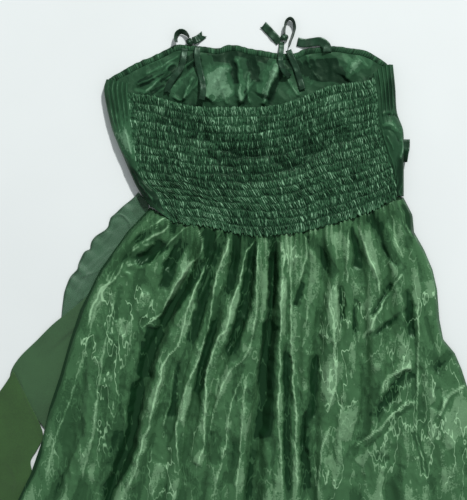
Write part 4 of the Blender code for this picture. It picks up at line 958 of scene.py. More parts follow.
def satin(name, deep, mid, pale, roughness=0.36, vein=0.5, grain=0.12, light=1.0,
          crumpled=1.0, gloss=0.26):
    """Warp-faced polyester satin, woven and left unpressed.

    Its long floats give a soft green gloss. Its tone paints the light and shade of the folds into
    the colour. Crinkles show as painted highlights in fine veins, in patches, and a grain as of
    tiny puckers covers the stretches that the tone paints lighter.
    """
    material, tree, shader = new_material(
        name, Metallic=0.0, IOR=1.5, Specular_IOR_Level=gloss, Anisotropic=0.3,
        Sheen_Weight=0.05, Sheen_Roughness=0.4, Specular_Tint=(0.6, 1.0, 0.64, 1.0),
        Sheen_Tint=(0.5, 0.9, 0.52, 1.0))
    where = node(tree, "ShaderNodeTexCoord").node.outputs["Object"]
    stretched = node(tree, "ShaderNodeMapping", {"Vector": where, "Scale": (1.0, 0.34, 1.0)})
    tone, veined = [node(tree, "ShaderNodeAttribute", attribute_name=key).node.outputs["Fac"]
                    for key in ("tone", "veins")]
    # Veins are painted highlights: thin jagged creases that run round uneven puffs 10 to 20 mm
    # wide.
    puffs = node(tree, "ShaderNodeTexNoise", {"Vector": stretched, "Scale": 1 / 0.025,
                                              "Detail": 3.0, "Roughness": 0.57})
    puffs = node(tree, "ShaderNodeMath", (puffs, 0.5), operation="SUBTRACT")
    gap = node(tree, "ShaderNodeMath", (puffs,), operation="ABSOLUTE")
    vein_line = node(tree, "ShaderNodeMapRange",
                     {"Value": gap, "From Min": 0.002, "From Max": 0.016, "To Min": 1.0,
                      "To Max": 0.0}, interpolation_type="SMOOTHSTEP")
    flicker = node(tree, "ShaderNodeTexNoise", {"Vector": where, "Scale": 1 / 0.02,
                                                "Detail": 1.0})
    flicker = node(tree, "ShaderNodeMapRange",
                   {"Value": flicker, "From Min": 0.3, "From Max": 0.4},
                   interpolation_type="SMOOTHSTEP")
    veins = node(tree, "ShaderNodeMath", (vein_line, flicker), operation="MULTIPLY")
    veins = node(tree, "ShaderNodeMath", (veins, veined), operation="MULTIPLY")
    # Puckers of the weave are under a millimetre; drawn 2 mm wide so that they show.
    fine = node(tree, "ShaderNodeTexNoise", {"Vector": where, "Scale": 1 / 0.0022,
                                             "Detail": 2.0, "Roughness": 0.7})
    fine = node(tree, "ShaderNodeMath", (fine, 0.5), operation="SUBTRACT")
    cloud = node(tree, "ShaderNodeTexNoise", {"Vector": where, "Scale": 1 / 0.035,
                                              "Detail": 3.0})
    cloud = node(tree, "ShaderNodeMath", (cloud, 0.5), operation="SUBTRACT")
    # The grain shows more where the tone paints light.
    toned_grain = node(tree, "ShaderNodeMath", (fine, tone), operation="MULTIPLY")
    shade = node(tree, "ShaderNodeMath", (tone, light), operation="MULTIPLY")
    shade = node(tree, "ShaderNodeMath", (veins, vein, shade), operation="MULTIPLY_ADD")
    shade = node(tree, "ShaderNodeMath", (toned_grain, 4.0 * grain, shade),
                 operation="MULTIPLY_ADD")
    # Painted light and shade of crumpled satin: it breaks up into small flat facets with crisp
    # borders, drawn as lighter and darker patches over a random mottle, as strong as crumpled
    # says.
    slim = node(tree, "ShaderNodeMapping", {"Vector": where, "Scale": (1.0, 0.35, 1.0)})
    facets = node(tree, "ShaderNodeTexNoise", {"Vector": slim, "Scale": 1 / 0.021,
                                               "Detail": 1.6, "Distortion": 0.5})
    uneven = node(tree, "ShaderNodeMath", (cloud, 0.16), operation="MULTIPLY")
    for edge, amount in ((0.43, 0.07), (0.52, 0.08), (0.6, 0.08)):
        facet = node(tree, "ShaderNodeMapRange", {"Value": facets, "From Min": edge,
                                                  "From Max": edge + 0.015, "To Min": -0.5,
                                                  "To Max": 0.5})
        uneven = node(tree, "ShaderNodeMath", (facet, crumpled * amount, uneven),
                      operation="MULTIPLY_ADD")
    # Where the tone paints deep shade in the folds, the facets and mottle fade so that the painted
    # shade is even.
    open_to_light = node(tree, "ShaderNodeMapRange", {"Value": tone, "From Min": 0.05,
                                                      "From Max": 0.36, "To Min": 0.2})
    shade = node(tree, "ShaderNodeMath", (uneven, open_to_light, shade),
                 operation="MULTIPLY_ADD")
    # The painted light and shade steps from one colour to the next along crisp borders, from
    # painted shade through the middle colour to painted highlight.
    dusky, lit = between(deep, mid, 0.5), between(mid, pale, 0.33)
    colour = node(tree, "ShaderNodeValToRGB", (shade,), stops=(
        (0.06, deep), (0.13, dusky), (0.25, dusky), (0.33, mid), (0.47, mid), (0.54, lit),
        (0.66, lit), (1.0, pale)))
    tree.links.new(colour, shader.inputs["Base Color"])
    rough = node(tree, "ShaderNodeMapRange",
                 {"Value": fine, "From Min": -0.3, "From Max": 0.3, "To Min": roughness - 0.06,
                  "To Max": roughness + 0.08})
    tree.links.new(rough, shader.inputs["Roughness"])
    lift = node(tree, "ShaderNodeMath", (veins, 1.6, fine), operation="MULTIPLY_ADD")
    bump = node(tree, "ShaderNodeBump", {"Height": lift, "Strength": 0.4, "Distance": 0.0004})
    tree.links.new(bump, shader.inputs["Normal"])
    return material


def skirt_shades(colours):
    """The skirt satin's painted shade, own middle colour and painted highlight."""
    return colours.satin_painted_shade, colours.satin_mid, colours.satin_painted_highlight


def bodice_shades(colours):
    """The bodice satin's painted shade, own middle colour and painted highlight."""
    return colours.bodice_painted_shade, colours.bodice_mid, colours.bodice_painted_highlight


def organza(colours):
    """Sheer polyester organza, plain woven from fine crisp yarn, half clear over white."""
    material, tree, shader = new_material(
        "organza_sheer_woven", Roughness=0.45, IOR=1.45, Specular_IOR_Level=0.35,
        Sheen_Weight=0.3, Sheen_Roughness=0.5)
    where = node(tree, "ShaderNodeTexCoord").node.outputs["UV"]
    # Yarn spacing is 0.3 mm; drawn at 1.2 mm so that the weave shows.
    warp, weft = [node(tree, "ShaderNodeTexWave",
                       {"Vector": where, "Scale": 1 / 0.0012, "Distortion": 1.5},
                       bands_direction=axis).node.outputs["Fac"] for axis in ("X", "Y")]
    weave = node(tree, "ShaderNodeMath", (warp, weft), operation="MAXIMUM")
    cloud = node(tree, "ShaderNodeTexNoise", {"Vector": where, "Scale": 30.0, "Detail": 2.0})
    tone = node(tree, "ShaderNodeAttribute", attribute_name="tone").node.outputs["Fac"]
    cover = node(tree, "ShaderNodeMath", (cloud, 0.16, tone), operation="MULTIPLY_ADD")
    cover = node(tree, "ShaderNodeMath", (weave, 0.10, cover), operation="MULTIPLY_ADD")
    tree.links.new(cover, shader.inputs["Alpha"])
    # The rolled hem and the doubled corner are denser and darker than the single layer.
    clear = node(tree, "ShaderNodeMath", (tone, -2.0, 1.3), operation="MULTIPLY_ADD")
    clear = node(tree, "ShaderNodeMath", (cloud, 0.6, clear), operation="MULTIPLY_ADD")
    colour = node(tree, "ShaderNodeValToRGB", (clear,), stops=zip(
        (0.1, 0.75), shades(colours.organza, 0.62, 1.45)))
    tree.links.new(colour, shader.inputs["Base Color"])
    bump = node(tree, "ShaderNodeBump", {"Height": weave, "Strength": 0.2,
                                         "Distance": 0.0003})
    tree.links.new(bump, shader.inputs["Normal"])
    return material


def crepe(name, colour):
    """Polyester crepe, woven from overtwisted yarn: matt, with a fine pebbled face."""
    material, tree, shader = new_material(
        name, IOR=1.45, Specular_IOR_Level=0.25, Sheen_Weight=0.25, Sheen_Roughness=0.6)
    where = node(tree, "ShaderNodeTexCoord").node.outputs["Object"]
    # Pebbles of the crepe are 0.6 mm across; drawn 1.4 mm wide so that they show.
    pebble = node(tree, "ShaderNodeTexNoise", {"Vector": where, "Scale": 1 / 0.0014,
                                               "Detail": 2.0, "Roughness": 0.65})
    cloud = node(tree, "ShaderNodeTexNoise", {"Vector": where, "Scale": 14.0, "Detail": 3.0})
    mixed = node(tree, "ShaderNodeMath", (pebble, 0.8, cloud), operation="MULTIPLY_ADD")
    tree.links.new(node(tree, "ShaderNodeValToRGB", (mixed,), stops=zip(
        (0.55, 1.2), shades(colour, 0.72, 1.25))), shader.inputs["Base Color"])
    rough = node(tree, "ShaderNodeMapRange", {"Value": pebble, "From Min": 0.3,
                                              "From Max": 0.7, "To Min": 0.68, "To Max": 0.86})
    tree.links.new(rough, shader.inputs["Roughness"])
    bump = node(tree, "ShaderNodeBump", {"Height": pebble, "Strength": 0.35,
                                         "Distance": 0.0004})
    tree.links.new(bump, shader.inputs["Normal"])
    return material


def ribbon_satin(name, colour, roughness=0.36):
    """Narrow satin ribbon, folded lengthwise and pressed, ribbed finely across."""
    material, tree, shader = new_material(
        name, IOR=1.5, Specular_IOR_Level=0.4, Sheen_Weight=0.1, Sheen_Roughness=0.4,
        Specular_Tint=(0.7, 1.0, 0.78, 1.0))
    where = node(tree, "ShaderNodeTexCoord").node.outputs["Object"]
    # Ribs are 0.5 mm apart; drawn at 1.1 mm so that they show.
    rib = node(tree, "ShaderNodeTexNoise", {"Vector": where, "Scale": 1 / 0.0011,
                                            "Detail": 2.0})
    cloud = node(tree, "ShaderNodeTexNoise", {"Vector": where, "Scale": 1 / 0.009,
                                              "Detail": 2.0})
    mixed = node(tree, "ShaderNodeMath", (rib, 0.55, cloud), operation="MULTIPLY_ADD")
    tree.links.new(node(tree, "ShaderNodeValToRGB", (mixed,), stops=zip(
        (0.55, 1.0), shades(colour, 0.6, 1.6))), shader.inputs["Base Color"])
    rough = node(tree, "ShaderNodeMapRange",
                 {"Value": cloud, "From Min": 0.3, "From Max": 0.7, "To Min": roughness - 0.06,
                  "To Max": roughness + 0.1})
    tree.links.new(rough, shader.inputs["Roughness"])
    bump = node(tree, "ShaderNodeBump", {"Height": mixed, "Strength": 0.4,
                                         "Distance": 0.0005})
    tree.links.new(bump, shader.inputs["Normal"])
    return material


def painted_board(colour):
    """Matt painted board, rolled: an even pale surface with a barely seen mottle."""
    material, tree, shader = new_material(
        "painted_board_matt", IOR=1.45, Specular_IOR_Level=0.2, Roughness=0.8)
    where = node(tree, "ShaderNodeTexCoord").node.outputs["Object"]
    mottle = node(tree, "ShaderNodeTexNoise", {"Vector": where, "Scale": 5.0, "Detail": 3.0})
    tree.links.new(node(tree, "ShaderNodeValToRGB", (mottle,), stops=zip(
        (0.3, 0.7), shades(colour, 0.965, 1.0))), shader.inputs["Base Color"])
    return material


def satin_laid_flat(colours):
    """Satin of the pieces that lie flat beneath, made the first time it is asked for."""
    name = "satin_laid_flat"
    return bpy.data.materials.get(name) or satin(name, *skirt_shades(colours), vein=0.12)


# Pieces

def back_base(x, y, u, v):
    """Height of the smooth back: raised at the neck edge, with sags across it."""
    height = SEAM_HEIGHT - SEAM_FALL * v
    height = height + NECK_EDGE_RISE * (1 - v) ** 1.4 * np.sin(math.pi * u)
    inside = ease(6 * np.minimum(np.minimum(u, 1 - u), np.minimum(v, 1 - v)))
    sag = np.zeros(x.shape)
    for line in SAGS:
        sag += SAG_DEPTH * np.exp(-(to_line(line, x, y)[0] / SAG_WIDTH) ** 2)
    return height - sag * inside, sag * inside


def back_sides():
    """The four curved sides of the shirred back."""
    left_seam, right_seam = curve(SEAM_LEFT), curve(SEAM_RIGHT)
    shift = np.array([SEAM_GAP, 0.0])

    def left(v):
        return left_seam(SEAM_START_LEFT + (1 - SEAM_START_LEFT) * v) + shift

    def right(v):
        return right_seam(SEAM_START_RIGHT + (1 - SEAM_START_RIGHT) * v) - shift

    top = curve([left(0.0), *BACK_NECK[1:-1], right(0.0)])
    low_left, low_right = left(1.0), right(1.0)

    def bottom(t):
        t = np.asarray(t, float)
        x = low_left[0] * (1 - t) + low_right[0] * t
        y = np.where((t > 0) & (t < 1), outline_y(WAIST, x) + SEAM_GAP,
                     low_left[1] * (1 - t) + low_right[1] * t)
        return np.stack([x, y], axis=-1)

    return top, bottom, left, right


def shirring_grid(sizes):
    """The shirred back: rows of elastic pull it down, and puckers stand between them."""
    bands = sizes.elastic_rows
    u = np.linspace(0, 1, sizes.gathers * GATHER_STEPS + 1)
    v = np.linspace(0, 1, bands * BAND_STEPS + 1)
    places = coons_patch(*back_sides(), u, v)
    x, y = places[..., 0], places[..., 1]
    u, v = np.meshgrid(u, v)
    base, sag = back_base(x, y, u, v)
    fold, fold_tone = creases(SHIRRING_FOLDS, x, y)
    band = np.minimum(np.floor(v * bands + 1e-6), bands - 1)
    inside = v * bands - band
    puff = np.sin(math.pi * np.clip(inside, 0, 1)) ** 0.4
    drift = noise_at(18 * u, 3.7 * band, 1.0, 2.3)
    slant = noise_at(17 * u, 2.9 * band, 1.0, 5.9) * (inside - 0.5)
    jitter = noise_at(0.55 * sizes.gathers * u, 5.7 * band, 1.0, 4.4)
    # Each band has its own run of gathers, so that they don't line up down the back.
    chance = np.random.default_rng(SHIRRING_SEED)
    shift = chance.random(bands)[band.astype(int)]
    turns = sizes.gathers * u * (0.94 + 0.12 * shift) + 3.0 * shift
    turns += 1.25 * drift + 2.4 * slant + 0.7 * jitter + 0.5 * noise_at(x, y, 4.0, 7.1)
    pucker = (0.5 + 0.5 * np.cos(2 * math.pi * turns)) ** 1.3
    uneven = 0.9 + 0.9 * noise_at(60 * u, 5.3 * band, 1.0, 8.8)
    height = sizes.gather_height / MM
    # Where the elastic has slipped, the cloth is hardly drawn in along its row.
    drawn = np.clip(0.45 + 1.1 * noise_at(x, y, 17.0, 4.9, 0.5), 0.0, 1.0)
    rise = puff * (0.3 + height * pucker * uneven) - 0.7 * drawn * (1 - puff)
    edge = ease(30 * np.minimum(u, 1 - u))
    z = base + fold * ease(6 * np.minimum(v, 1 - v)) + rise * edge - 0.4 * (1 - edge)
    ragged = 2.6 * noise_at(8 * u, 5.0 * v, 1.0, 3.3) + 2.4 * noise_at(34 * u, 14 * v, 1.0, 1.3)
    y = y + ragged * ease(8 * np.minimum(v, 1 - v))
    # Past the last elastic at neck and waist the cloth stands up in a small uneven frill.
    frill = noise_at(150 * u, 0 * u, 1.0, 7.2) + 0.6 * noise_at(60 * u, 0 * u, 1.0, 3.9)
    neck, waist = ease(1 - v * bands / 0.5), ease(1 - (1 - v) * bands / 0.34)
    y = y + NECK_FRILL_OUT * neck * (0.4 + frill) - WAIST_FRILL_OUT * waist * (0.8 + 1.2 * frill)
    z = z + edge * (NECK_FRILL_UP * neck + WAIST_FRILL_UP * waist)
    x = x + 0.5 * puff * noise_at(50 * u, 4.1 * band, 1.0, 1.1) * edge
    # Each pucker catches the light by its own amount.
    lights = chance.random((bands + 1, 2 * sizes.gathers)) ** 1.5
    pick = np.clip(np.round(turns).astype(int) + 4, 0, 2 * sizes.gathers - 1)
    glint = lights[band.astype(int), pick]
    # Painted light and shade: a glint on each pucker's top, and shade in the sags and along the
    # drawn elastic rows.
    tone = (0.3 + 0.7 * puff) * pucker * (0.12 + 0.86 * glint) + 0.05 * puff + 0.015
    tone -= 0.03 * sag + 0.07 * drawn * (1 - puff)
    tone += 0.8 * fold_tone + 1.8 * shade_bands(SHIRRING_SHADES, x, y)
    tone += 0.10 * noise_at(x, y, 26.0, 6.6, 0.6) + 0.55 * noise_at(x, y, 1.3, 3.1, 2.6)
    # The frills at neck and waist and along the left seam are painted lighter, as highlights.
    tone += 0.4 * np.clip(0.35 + frill, 0, 1.5) * np.maximum(neck, waist)
    seam_frill_highlight = np.exp(-(x - x[:, :1]) / 3.0) * (0.7 + noise_at(x, y, 3.0, 4.1))
    tone += 0.42 * np.clip(seam_frill_highlight, 0, 1)
    return np.stack([x, y, z], axis=-1), tone


def side_grid(edge, seam, form, inward, pleats):
    """A side panel from the floor, up round the dress's edge and over to the back seam."""
    edge_line, seam_line = curve(edge), curve(seam)
    t = np.linspace(0, 1, SIDE_ROWS)
    start, end = edge_line(t), seam_line(t)
    stations = np.linspace(0, 1, len(form))
    rise, pleat, shade = (np.array([table_value(stations, column, a) for a in t])
                          for column in zip(*form))
    pleat = np.maximum(0, pleat)
    points, lit = [], []
    # The foot rows, where the panel turns under, take the station's painted light and shade a
    # little darker.
    for offset, height in SIDE_FOOT:
        points.append(np.stack([start[:, 0] + inward * offset, start[:, 1],
                                np.full(len(t), height)], axis=-1))
        lit.append(0.8 * shade)
    shoulder = np.stack([start[:, 0] + inward * 1.6, start[:, 1],
                         np.full(len(t), SIDE_SHOULDER)], axis=-1)
    finish = np.stack([end[:, 0] + inward * 1.4, end[:, 1], SEAM_HEIGHT - 1.0 - SEAM_FALL * t],
                      axis=-1)
    for s in np.linspace(0, 1, PLEAT_STEPS * pleats + 1):
        across = shoulder * (1 - s) + finish * s
        arch = math.sin(math.pi * s)
        turns = pleats * s + 0.12 * noise_at(4 * t, 5 * s + 0 * t, 1.0, 2.2)
        # Pressed pleats lie to one side, so each has a long face and a short one.
        saw = turns - np.floor(turns)
        fold = np.where(saw < PLEAT_LONG, saw / PLEAT_LONG, (1 - saw) / PLEAT_SHORT)
        across[:, 2] += 3.0 * arch ** 0.7 + rise * arch + PLEAT_HEIGHT * pleat * (
            fold - 0.5) * min(1.0, 4 * arch)
        across[:, 1] += SIDE_NECK_BULGE * (inward < 0) * arch * ease(1 - 9 * t)
        points.append(across)
        # Each pleat's long face ends in a painted highlight, and the pleats are painted a little
        # darker besides.
        glint = np.exp(-((saw - 0.72) / 0.1) ** 2)
        glint = glint * (0.8 + noise_at(9 * t, 3 * s + 0 * t, 1.0, 6.0))
        lit.append(shade + pleat * (0.24 * glint - 0.06))
    grid, tone = np.stack(points, axis=1), np.stack(lit, axis=1)
    if inward < 0:
        grid, tone = grid[:, ::-1], tone[:, ::-1]
    x, y = grid[..., 0], grid[..., 1]
    fold, fold_tone = creases(SIDE_CREASES, x, y)
    lifted = ease((grid[..., 2] - 9) / 4)
    grid[..., 2] += lifted * (fold + 0.8 * (crumple(x, y, 14.0, 3.9, 1.6) - 0.5))
    return grid, tone + 0.7 * lifted * fold_tone + 0.12 * noise_at(x, y, 15.0, 8.1, 1.5)


def neck_offset(distance):
    """The front neckline moved down into the dress by distance."""
    line = curve(FRONT_NECK)
    shares = np.linspace(0, 1, 61)
    before = line(np.maximum(0, shares - 0.02))
    along = line(np.minimum(1, shares + 0.02)) - before
    along /= np.linalg.norm(along, axis=1, keepdims=True)
    return curve(line(shares) + distance * np.stack([along[:, 1], -along[:, 0]], axis=-1))


def casing_rings(sizes):
    """Rings of the gathered casing, rounded above and flat below."""
    width = sizes.casing_width / MM
    outer, inner = neck_offset(0.0), neck_offset(width)
    t = np.linspace(0, 1, 5 * sizes.casing_gathers + 1)
    turns = sizes.casing_gathers * t + 1.9 * noise_at(30 * t, 0 * t, 1.0, 4.4)
    pucker = 0.5 + 0.5 * np.cos(2 * math.pi * turns)
    uneven = 1 + 0.5 * noise_at(60 * t, 0 * t, 1.0, 6.4)
    a, b = outer(t), inner(t)
    a = a + (a - b) / width * 0.7 * noise_at(70 * t, 0 * t, 1.0, 8.4)[:, None]
    rings, tone = [], []
    for angle in np.linspace(0, math.pi, 11):
        share = 0.5 - 0.5 * math.cos(angle)
        round_up = math.sin(angle) ** 0.6
        high = round_up * (CASING_HEIGHT + 0.6 * pucker * uneven)
        place_at = a * (1 - share) + b * share
        rings.append(np.stack([place_at[:, 0], place_at[:, 1], 0.15 + high], axis=-1))
        # The gathers' rounded tops are painted lighter, as highlights.
        tone.append(0.08 + 0.42 * pucker * np.clip(2.6 * uneven - 2.0, 0, 1.6) * round_up)
    for share in (0.75, 0.5, 0.25):
        place_at = a * (1 - share) + b * share
        rings.append(np.stack([place_at[:, 0], place_at[:, 1], np.full(len(t), 0.1)], axis=-1))
        tone.append(np.full(len(t), 0.2))
    return np.stack(rings, axis=1), np.stack(tone, axis=1)


def front_places(lower, left, right, columns, rows, start):
    """Places of a sheet of the front, from start mm below the neckline to a lower line."""
    top = neck_offset(start)
    upper = curve([left[0], *top(np.linspace(0.07, 0.93, 31)), right[0]])
    return coons_patch(upper, curve(lower), curve(left), curve(right),
                       np.linspace(0, 1, columns + 1), np.linspace(0, 1, rows + 1))


def lining_grid():
    """The front's inside, crumpled where it shows above the back's neck edge."""
    lower = [(-160, 150), *[(x, y - 32) for x, y in BACK_NECK[1:-1]], (140, 165)]
    left = [(-186, 198), (-176, 176), lower[0]]
    right = [(160, 216), (152, 192), lower[-1]]
    places = front_places(lower, left, right, columns=240, rows=84, start=8.4)
    x, y = places[..., 0], places[..., 1]
    cover = ease((y - outline_y(BACK_NECK, x) + 20) / 24)
    fold, tone = creases(LINING_CREASES, x, y, 2.4)
    inside = np.maximum(0.0, outline_y(FRONT_NECK, x) - 9.0 - y)
    height = np.maximum(fold, -1.2) + 2.2 * crumple(x, y, 24.0, 2.9, 1.5)
    height += 0.5 * crumple(x, y, 9.0, 7.7, 1.3)
    height = np.clip(height * (0.12 + 0.88 * cover), 0.0, 2.0 + 0.9 * inside)
    depth = ease((y - outline_y(BACK_NECK, x)) / 10)
    # Painted light and shade: creases and patches, a little lighter where the cloth stands higher,
    # and darker under the back's neck edge where its shadow falls.
    tone = 0.23 + 0.5 * tone + 0.16 * noise_at(x, y, 26.0, 5.0) + 0.01 * (height - 4)
    tone = tone + 1.35 * shade_bands(LINING_SHADES, x, y)
    tone = np.minimum(tone, 0.5 + 0.4 * (tone - 0.5)) * (0.45 + 0.55 * depth)
    return np.stack([x, y, LINING_LEVEL + height], axis=-1), tone


def front_grid():
    """The bodice front, flat on the surface beneath everything."""
    left = [(x + FRONT_INSET, y) for x, y in EDGE_LEFT]
    left[0] = (left[0][0], left[0][1] - 4.0)
    left += [(left[-1][0] + 1.0, 12.0), (left[-1][0] + 1.0, FRONT_FOOT_Y)]
    right = [(x - FRONT_INSET, y) for x, y in EDGE_RIGHT]
    right[0] = (right[0][0], right[0][1] - 10.0)
    right += [(right[-1][0], 20.0), (right[-1][0], FRONT_FOOT_Y)]
    lower = [left[-1], (0, FRONT_FOOT_Y), right[-1]]
    places = front_places(lower, left, right, columns=120, rows=90, start=9.8)
    x, y = places[..., 0], places[..., 1]
    z = 0.75 + 0.55 * noise_at(x, y, 30.0, 3.1, 1.6)
    return np.stack([x, y, np.clip(z, 0.1, 1.4)], axis=-1), 0.42 + 0.1 * noise_at(x, y, 24.0, 1.7)


def row_level(level):
    """y of a row of the skirt at its sides."""
    return float(np.interp(level, range(HEM + 1), (WAIST[0][1], *FOLD_LEVELS, HEM_Y)))


def fold_places(level, left, right):
    """x of every crest at a row of the skirt."""
    if level <= LAST_LEVEL:
        return np.array([table_value(np.arange(HEM), np.array(fold[:HEM], float), level)
                         for fold in FOLDS])
    low_left, low_right = (outline_x(line, FOLD_LEVELS[-1]) for line in (SKIRT_LEFT, SKIRT_RIGHT))
    spread = float(ease(level - LAST_LEVEL)) * EVEN_AT_HEM
    share = (np.array([fold[LAST_LEVEL] for fold in FOLDS]) - low_left) / (low_right - low_left)
    even = (np.arange(len(FOLDS)) + 0.55) / (len(FOLDS) + 0.1)
    return left + (share + (even - share) * spread) * (right - left)


def skirt_controls(level):
    """Points across one row of the skirt where it bends: x, z and tone, and its y at the side."""
    y_side = row_level(level)
    y_right = y_side + (WAIST[-1][1] - WAIST[0][1]) * max(0.0, 1 - level)
    left, right = float(outline_x(SKIRT_LEFT, y_side)), float(outline_x(SKIRT_RIGHT, y_right))
    crests = fold_places(level, left, right)
    fall = float(ease(level * 1.1))
    lip = LEFT_LIP * float(ease((y_side - LAST_FREE_Y) / 70))
    # The edge is rolled: from beneath, out to the outline and up to the first fold, with painted
    # shade where it turns under.
    row = [(left + 2.5, lip - 0.3, 0.1), (left, lip + 2.0, 0.2),
           (left + EDGE_ROLL, lip + 5.6, 0.3)]
    last = len(FOLDS) - 1
    for i, (crest, fold) in enumerate(zip(crests, FOLDS)):
        top, valley = fold[-2:]
        high = WAIST_CREST + (top - WAIST_CREST) * fall
        # Only the deepest valleys go down to the table's height, and the others stay shallow.
        shallow = 0.55 * float(ease((valley - 3.6) / 1.3))
        dip = valley + (top - valley) * shallow
        dip = WAIST_DIP + (dip - WAIST_DIP) * fall
        before = crest - crests[i - 1] if i else 1.6 * (crest - left - EDGE_ROLL)
        after = crests[i + 1] - crest if i < last else 1.6 * (right - EDGE_ROLL - crest)
        if i in (0, last):
            high = EDGE_CREST + (high - EDGE_CREST) * fall
        high *= 1 + 0.4 * FOLD_UNEVEN * fall * math.sin(2.4 * i + 1.3 * level)
        left_share = CREST_SHARE * (1 + FOLD_UNEVEN * math.sin(2.1 * i + 0.9 * level))
        right_share = CREST_SHARE * (1 + FOLD_UNEVEN * math.sin(1.3 * i - 1.1 * level))
        lean = 0.05 * math.sin(3.1 * i)
        # Crests are painted lighter than the valleys beside them, as light and shade.
        row.append((crest - left_share * before, high * (1 - lean), 0.46))
        row.append((crest + right_share * after, high * (1 + lean), 0.46))
        if i < last:
            middle = crest + (0.52 + 0.06 * math.sin(1.9 * i)) * after
            row.append((middle - VALLEY_SHARE * after, dip, 0.34))
            row.append((middle + VALLEY_SHARE * after, dip, 0.34))
    row += [(right - 3.0, 8.6, 0.35), (right, 4.4, 0.3), (right - 1.4, 1.9, 0.2)]
    return row, y_side, left, right


def skirt_grid(sizes):
    """The gathered back of the skirt, its folds rounded, lipped and crinkled."""
    levels = np.concatenate([np.linspace(0, 1, WAIST_ROWS)[:-1],
                             np.linspace(1, HEM_START, FOLD_ROWS)[:-1],
                             np.linspace(HEM_START, HEM, HEM_ROWS)])
    rows = [skirt_controls(level) for level in levels]
    control = np.array([row[0] for row in rows])
    y_side = np.array([row[1] for row in rows])[:, None]
    left, right = (np.array([row[k] for row in rows])[:, None] for k in (2, 3))
    fall = ease(levels * 1.2)[:, None]
    x, z, lit = control[..., 0], control[..., 1].copy(), control[..., 2]
    number = np.arange(x.shape[1])[None, :] + 0 * x
    # Each bend sways by a third of the room beside it at most, so that no two cross.
    steps = np.diff(x, axis=1)
    room = np.minimum(steps[:, :-1], steps[:, 1:])
    room = np.concatenate([0 * room[:, :1], room, 0 * room[:, :1]], axis=1)
    room[:, :3] = room[:, -3:] = 0
    tall = y_side + 0 * x
    sway = 0.5 * noise_at(0.6 * number, tall, 1.0, 2.5, 34.0)
    sway += 0.4 * noise_at(1.3 * number, tall, 1.0, 6.5, 11.0)
    x = x + np.clip(sway, -0.34, 0.34) * room * fall
    z *= 1 + 0.16 * fall * noise_at(1.7 * number, tall, 1.0, 9.5, 30.0)
    # The mesh has even columns across each row, read off those bends.
    u = np.linspace(0, 1, SKIRT_COLUMNS + 1)
    across = left + (right - left) * u[None, :]
    z = np.stack([np.interp(*row) for row in zip(across, x, z)])
    tone = np.stack([np.interp(*row) for row in zip(across, x, lit)])
    x, share = across, u[None, :] + 0 * across
    z, tone = soften(z, 4), soften(tone, 1)
    level = levels[:, None] + 0 * x
    waist_y = outline_y(WAIST, x)
    y = np.where(level < 1, waist_y + (FOLD_LEVELS[0] - waist_y) * level, y_side + 0 * x)
    y = y - HEM_SWEEP * np.sin(math.pi * share) * np.maximum(0.0, level - LAST_LEVEL)
    inner = ease(14 * np.minimum(share, 1 - share))
    # Down to the hem each fold is painted light along its crest and painted shade beside it, by
    # its height.
    low = ease((LOW_TONE_Y - y) / LOW_TONE_FADE)
    tone += LOW_TONE * low * (z - soften(z, LOW_TONE_REACH))
    fold, fold_tone = creases(SKIRT_CREASES + HEM_CREASES, x, y, 2.0)
    shade = shade_bands(SKIRT_SHADES, x, y)
    crinkle = sizes.crinkle / MM
    fine = crinkle * 1.5 * (crumple(x, y, 17.0, 1.9, 1.7) - 0.5)
    fine += crinkle * (crumple(x, y, 7.5, 8.4, 1.7) - 0.5)
    depth = np.maximum(0.0, waist_y - y)
    gather = np.sin(2 * math.pi * (x + 3 * noise_at(x, 0 * x, 20.0, 3.0)) / WAIST_GATHER)
    gather = np.tanh(2.0 * gather) * np.exp(-depth / 24.0) * ease(depth / 3.0 + 0.4)
    # Rolls of extra cloth just below the waist seam press down into it.
    z = z + inner * (fall * (fold + 7 * shade) + (0.3 + 0.7 * fall) * fine + 1.0 * gather)
    z = z - WAIST_PRESS * np.exp(-depth / 3.0) * inner
    z = np.where(inner > 0.04, np.clip(z, SKIRT_FLOOR, SKIRT_TOP), np.clip(z, 0.4, SKIRT_TOP))
    # Painted light on the tops of the waist's gathers, and painted shade over the skirt's left
    # part, away from the light.
    tone = tone + fold_tone + shade + 0.13 * gather - 0.07 * (1 - ease((x - 10) / 30))
    tone += 0.12 * noise_at(x, y, 24.0, 4.2, 2.2)
    # A painted shadow just below the waist seam.
    tone -= 0.30 * np.exp(-depth / 3.5)
    # The left edge is in shade where it turns under, more in one place than in another.
    rim = np.clip(0.55 + 1.5 * noise_at(0 * x, y, 50.0, 7.3, 1.4), 0.12, 1.0)
    tone -= 0.36 * rim * (1 - ease((x - left - 2 - 6 * ease((2.2 - level) / 2)) / 7))
    veins = 0.36 + 1.1 * shade_bands(VEIN_PATCHES, x, y)
    return np.stack([x, y, z], axis=-1), tone, np.where(y < EVEN_VEINS_Y, EVEN_VEINS, veins)


def soften(values, reach):
    """Values smoothed across each row over reach columns to both sides."""
    kernel = np.concatenate([np.arange(1, reach + 2), np.arange(reach, 0, -1)]).astype(float)
    padded = np.pad(values, ((0, 0), (reach, reach)), mode="edge")
    return np.stack([np.convolve(row, kernel / kernel.sum(), "valid") for row in padded])


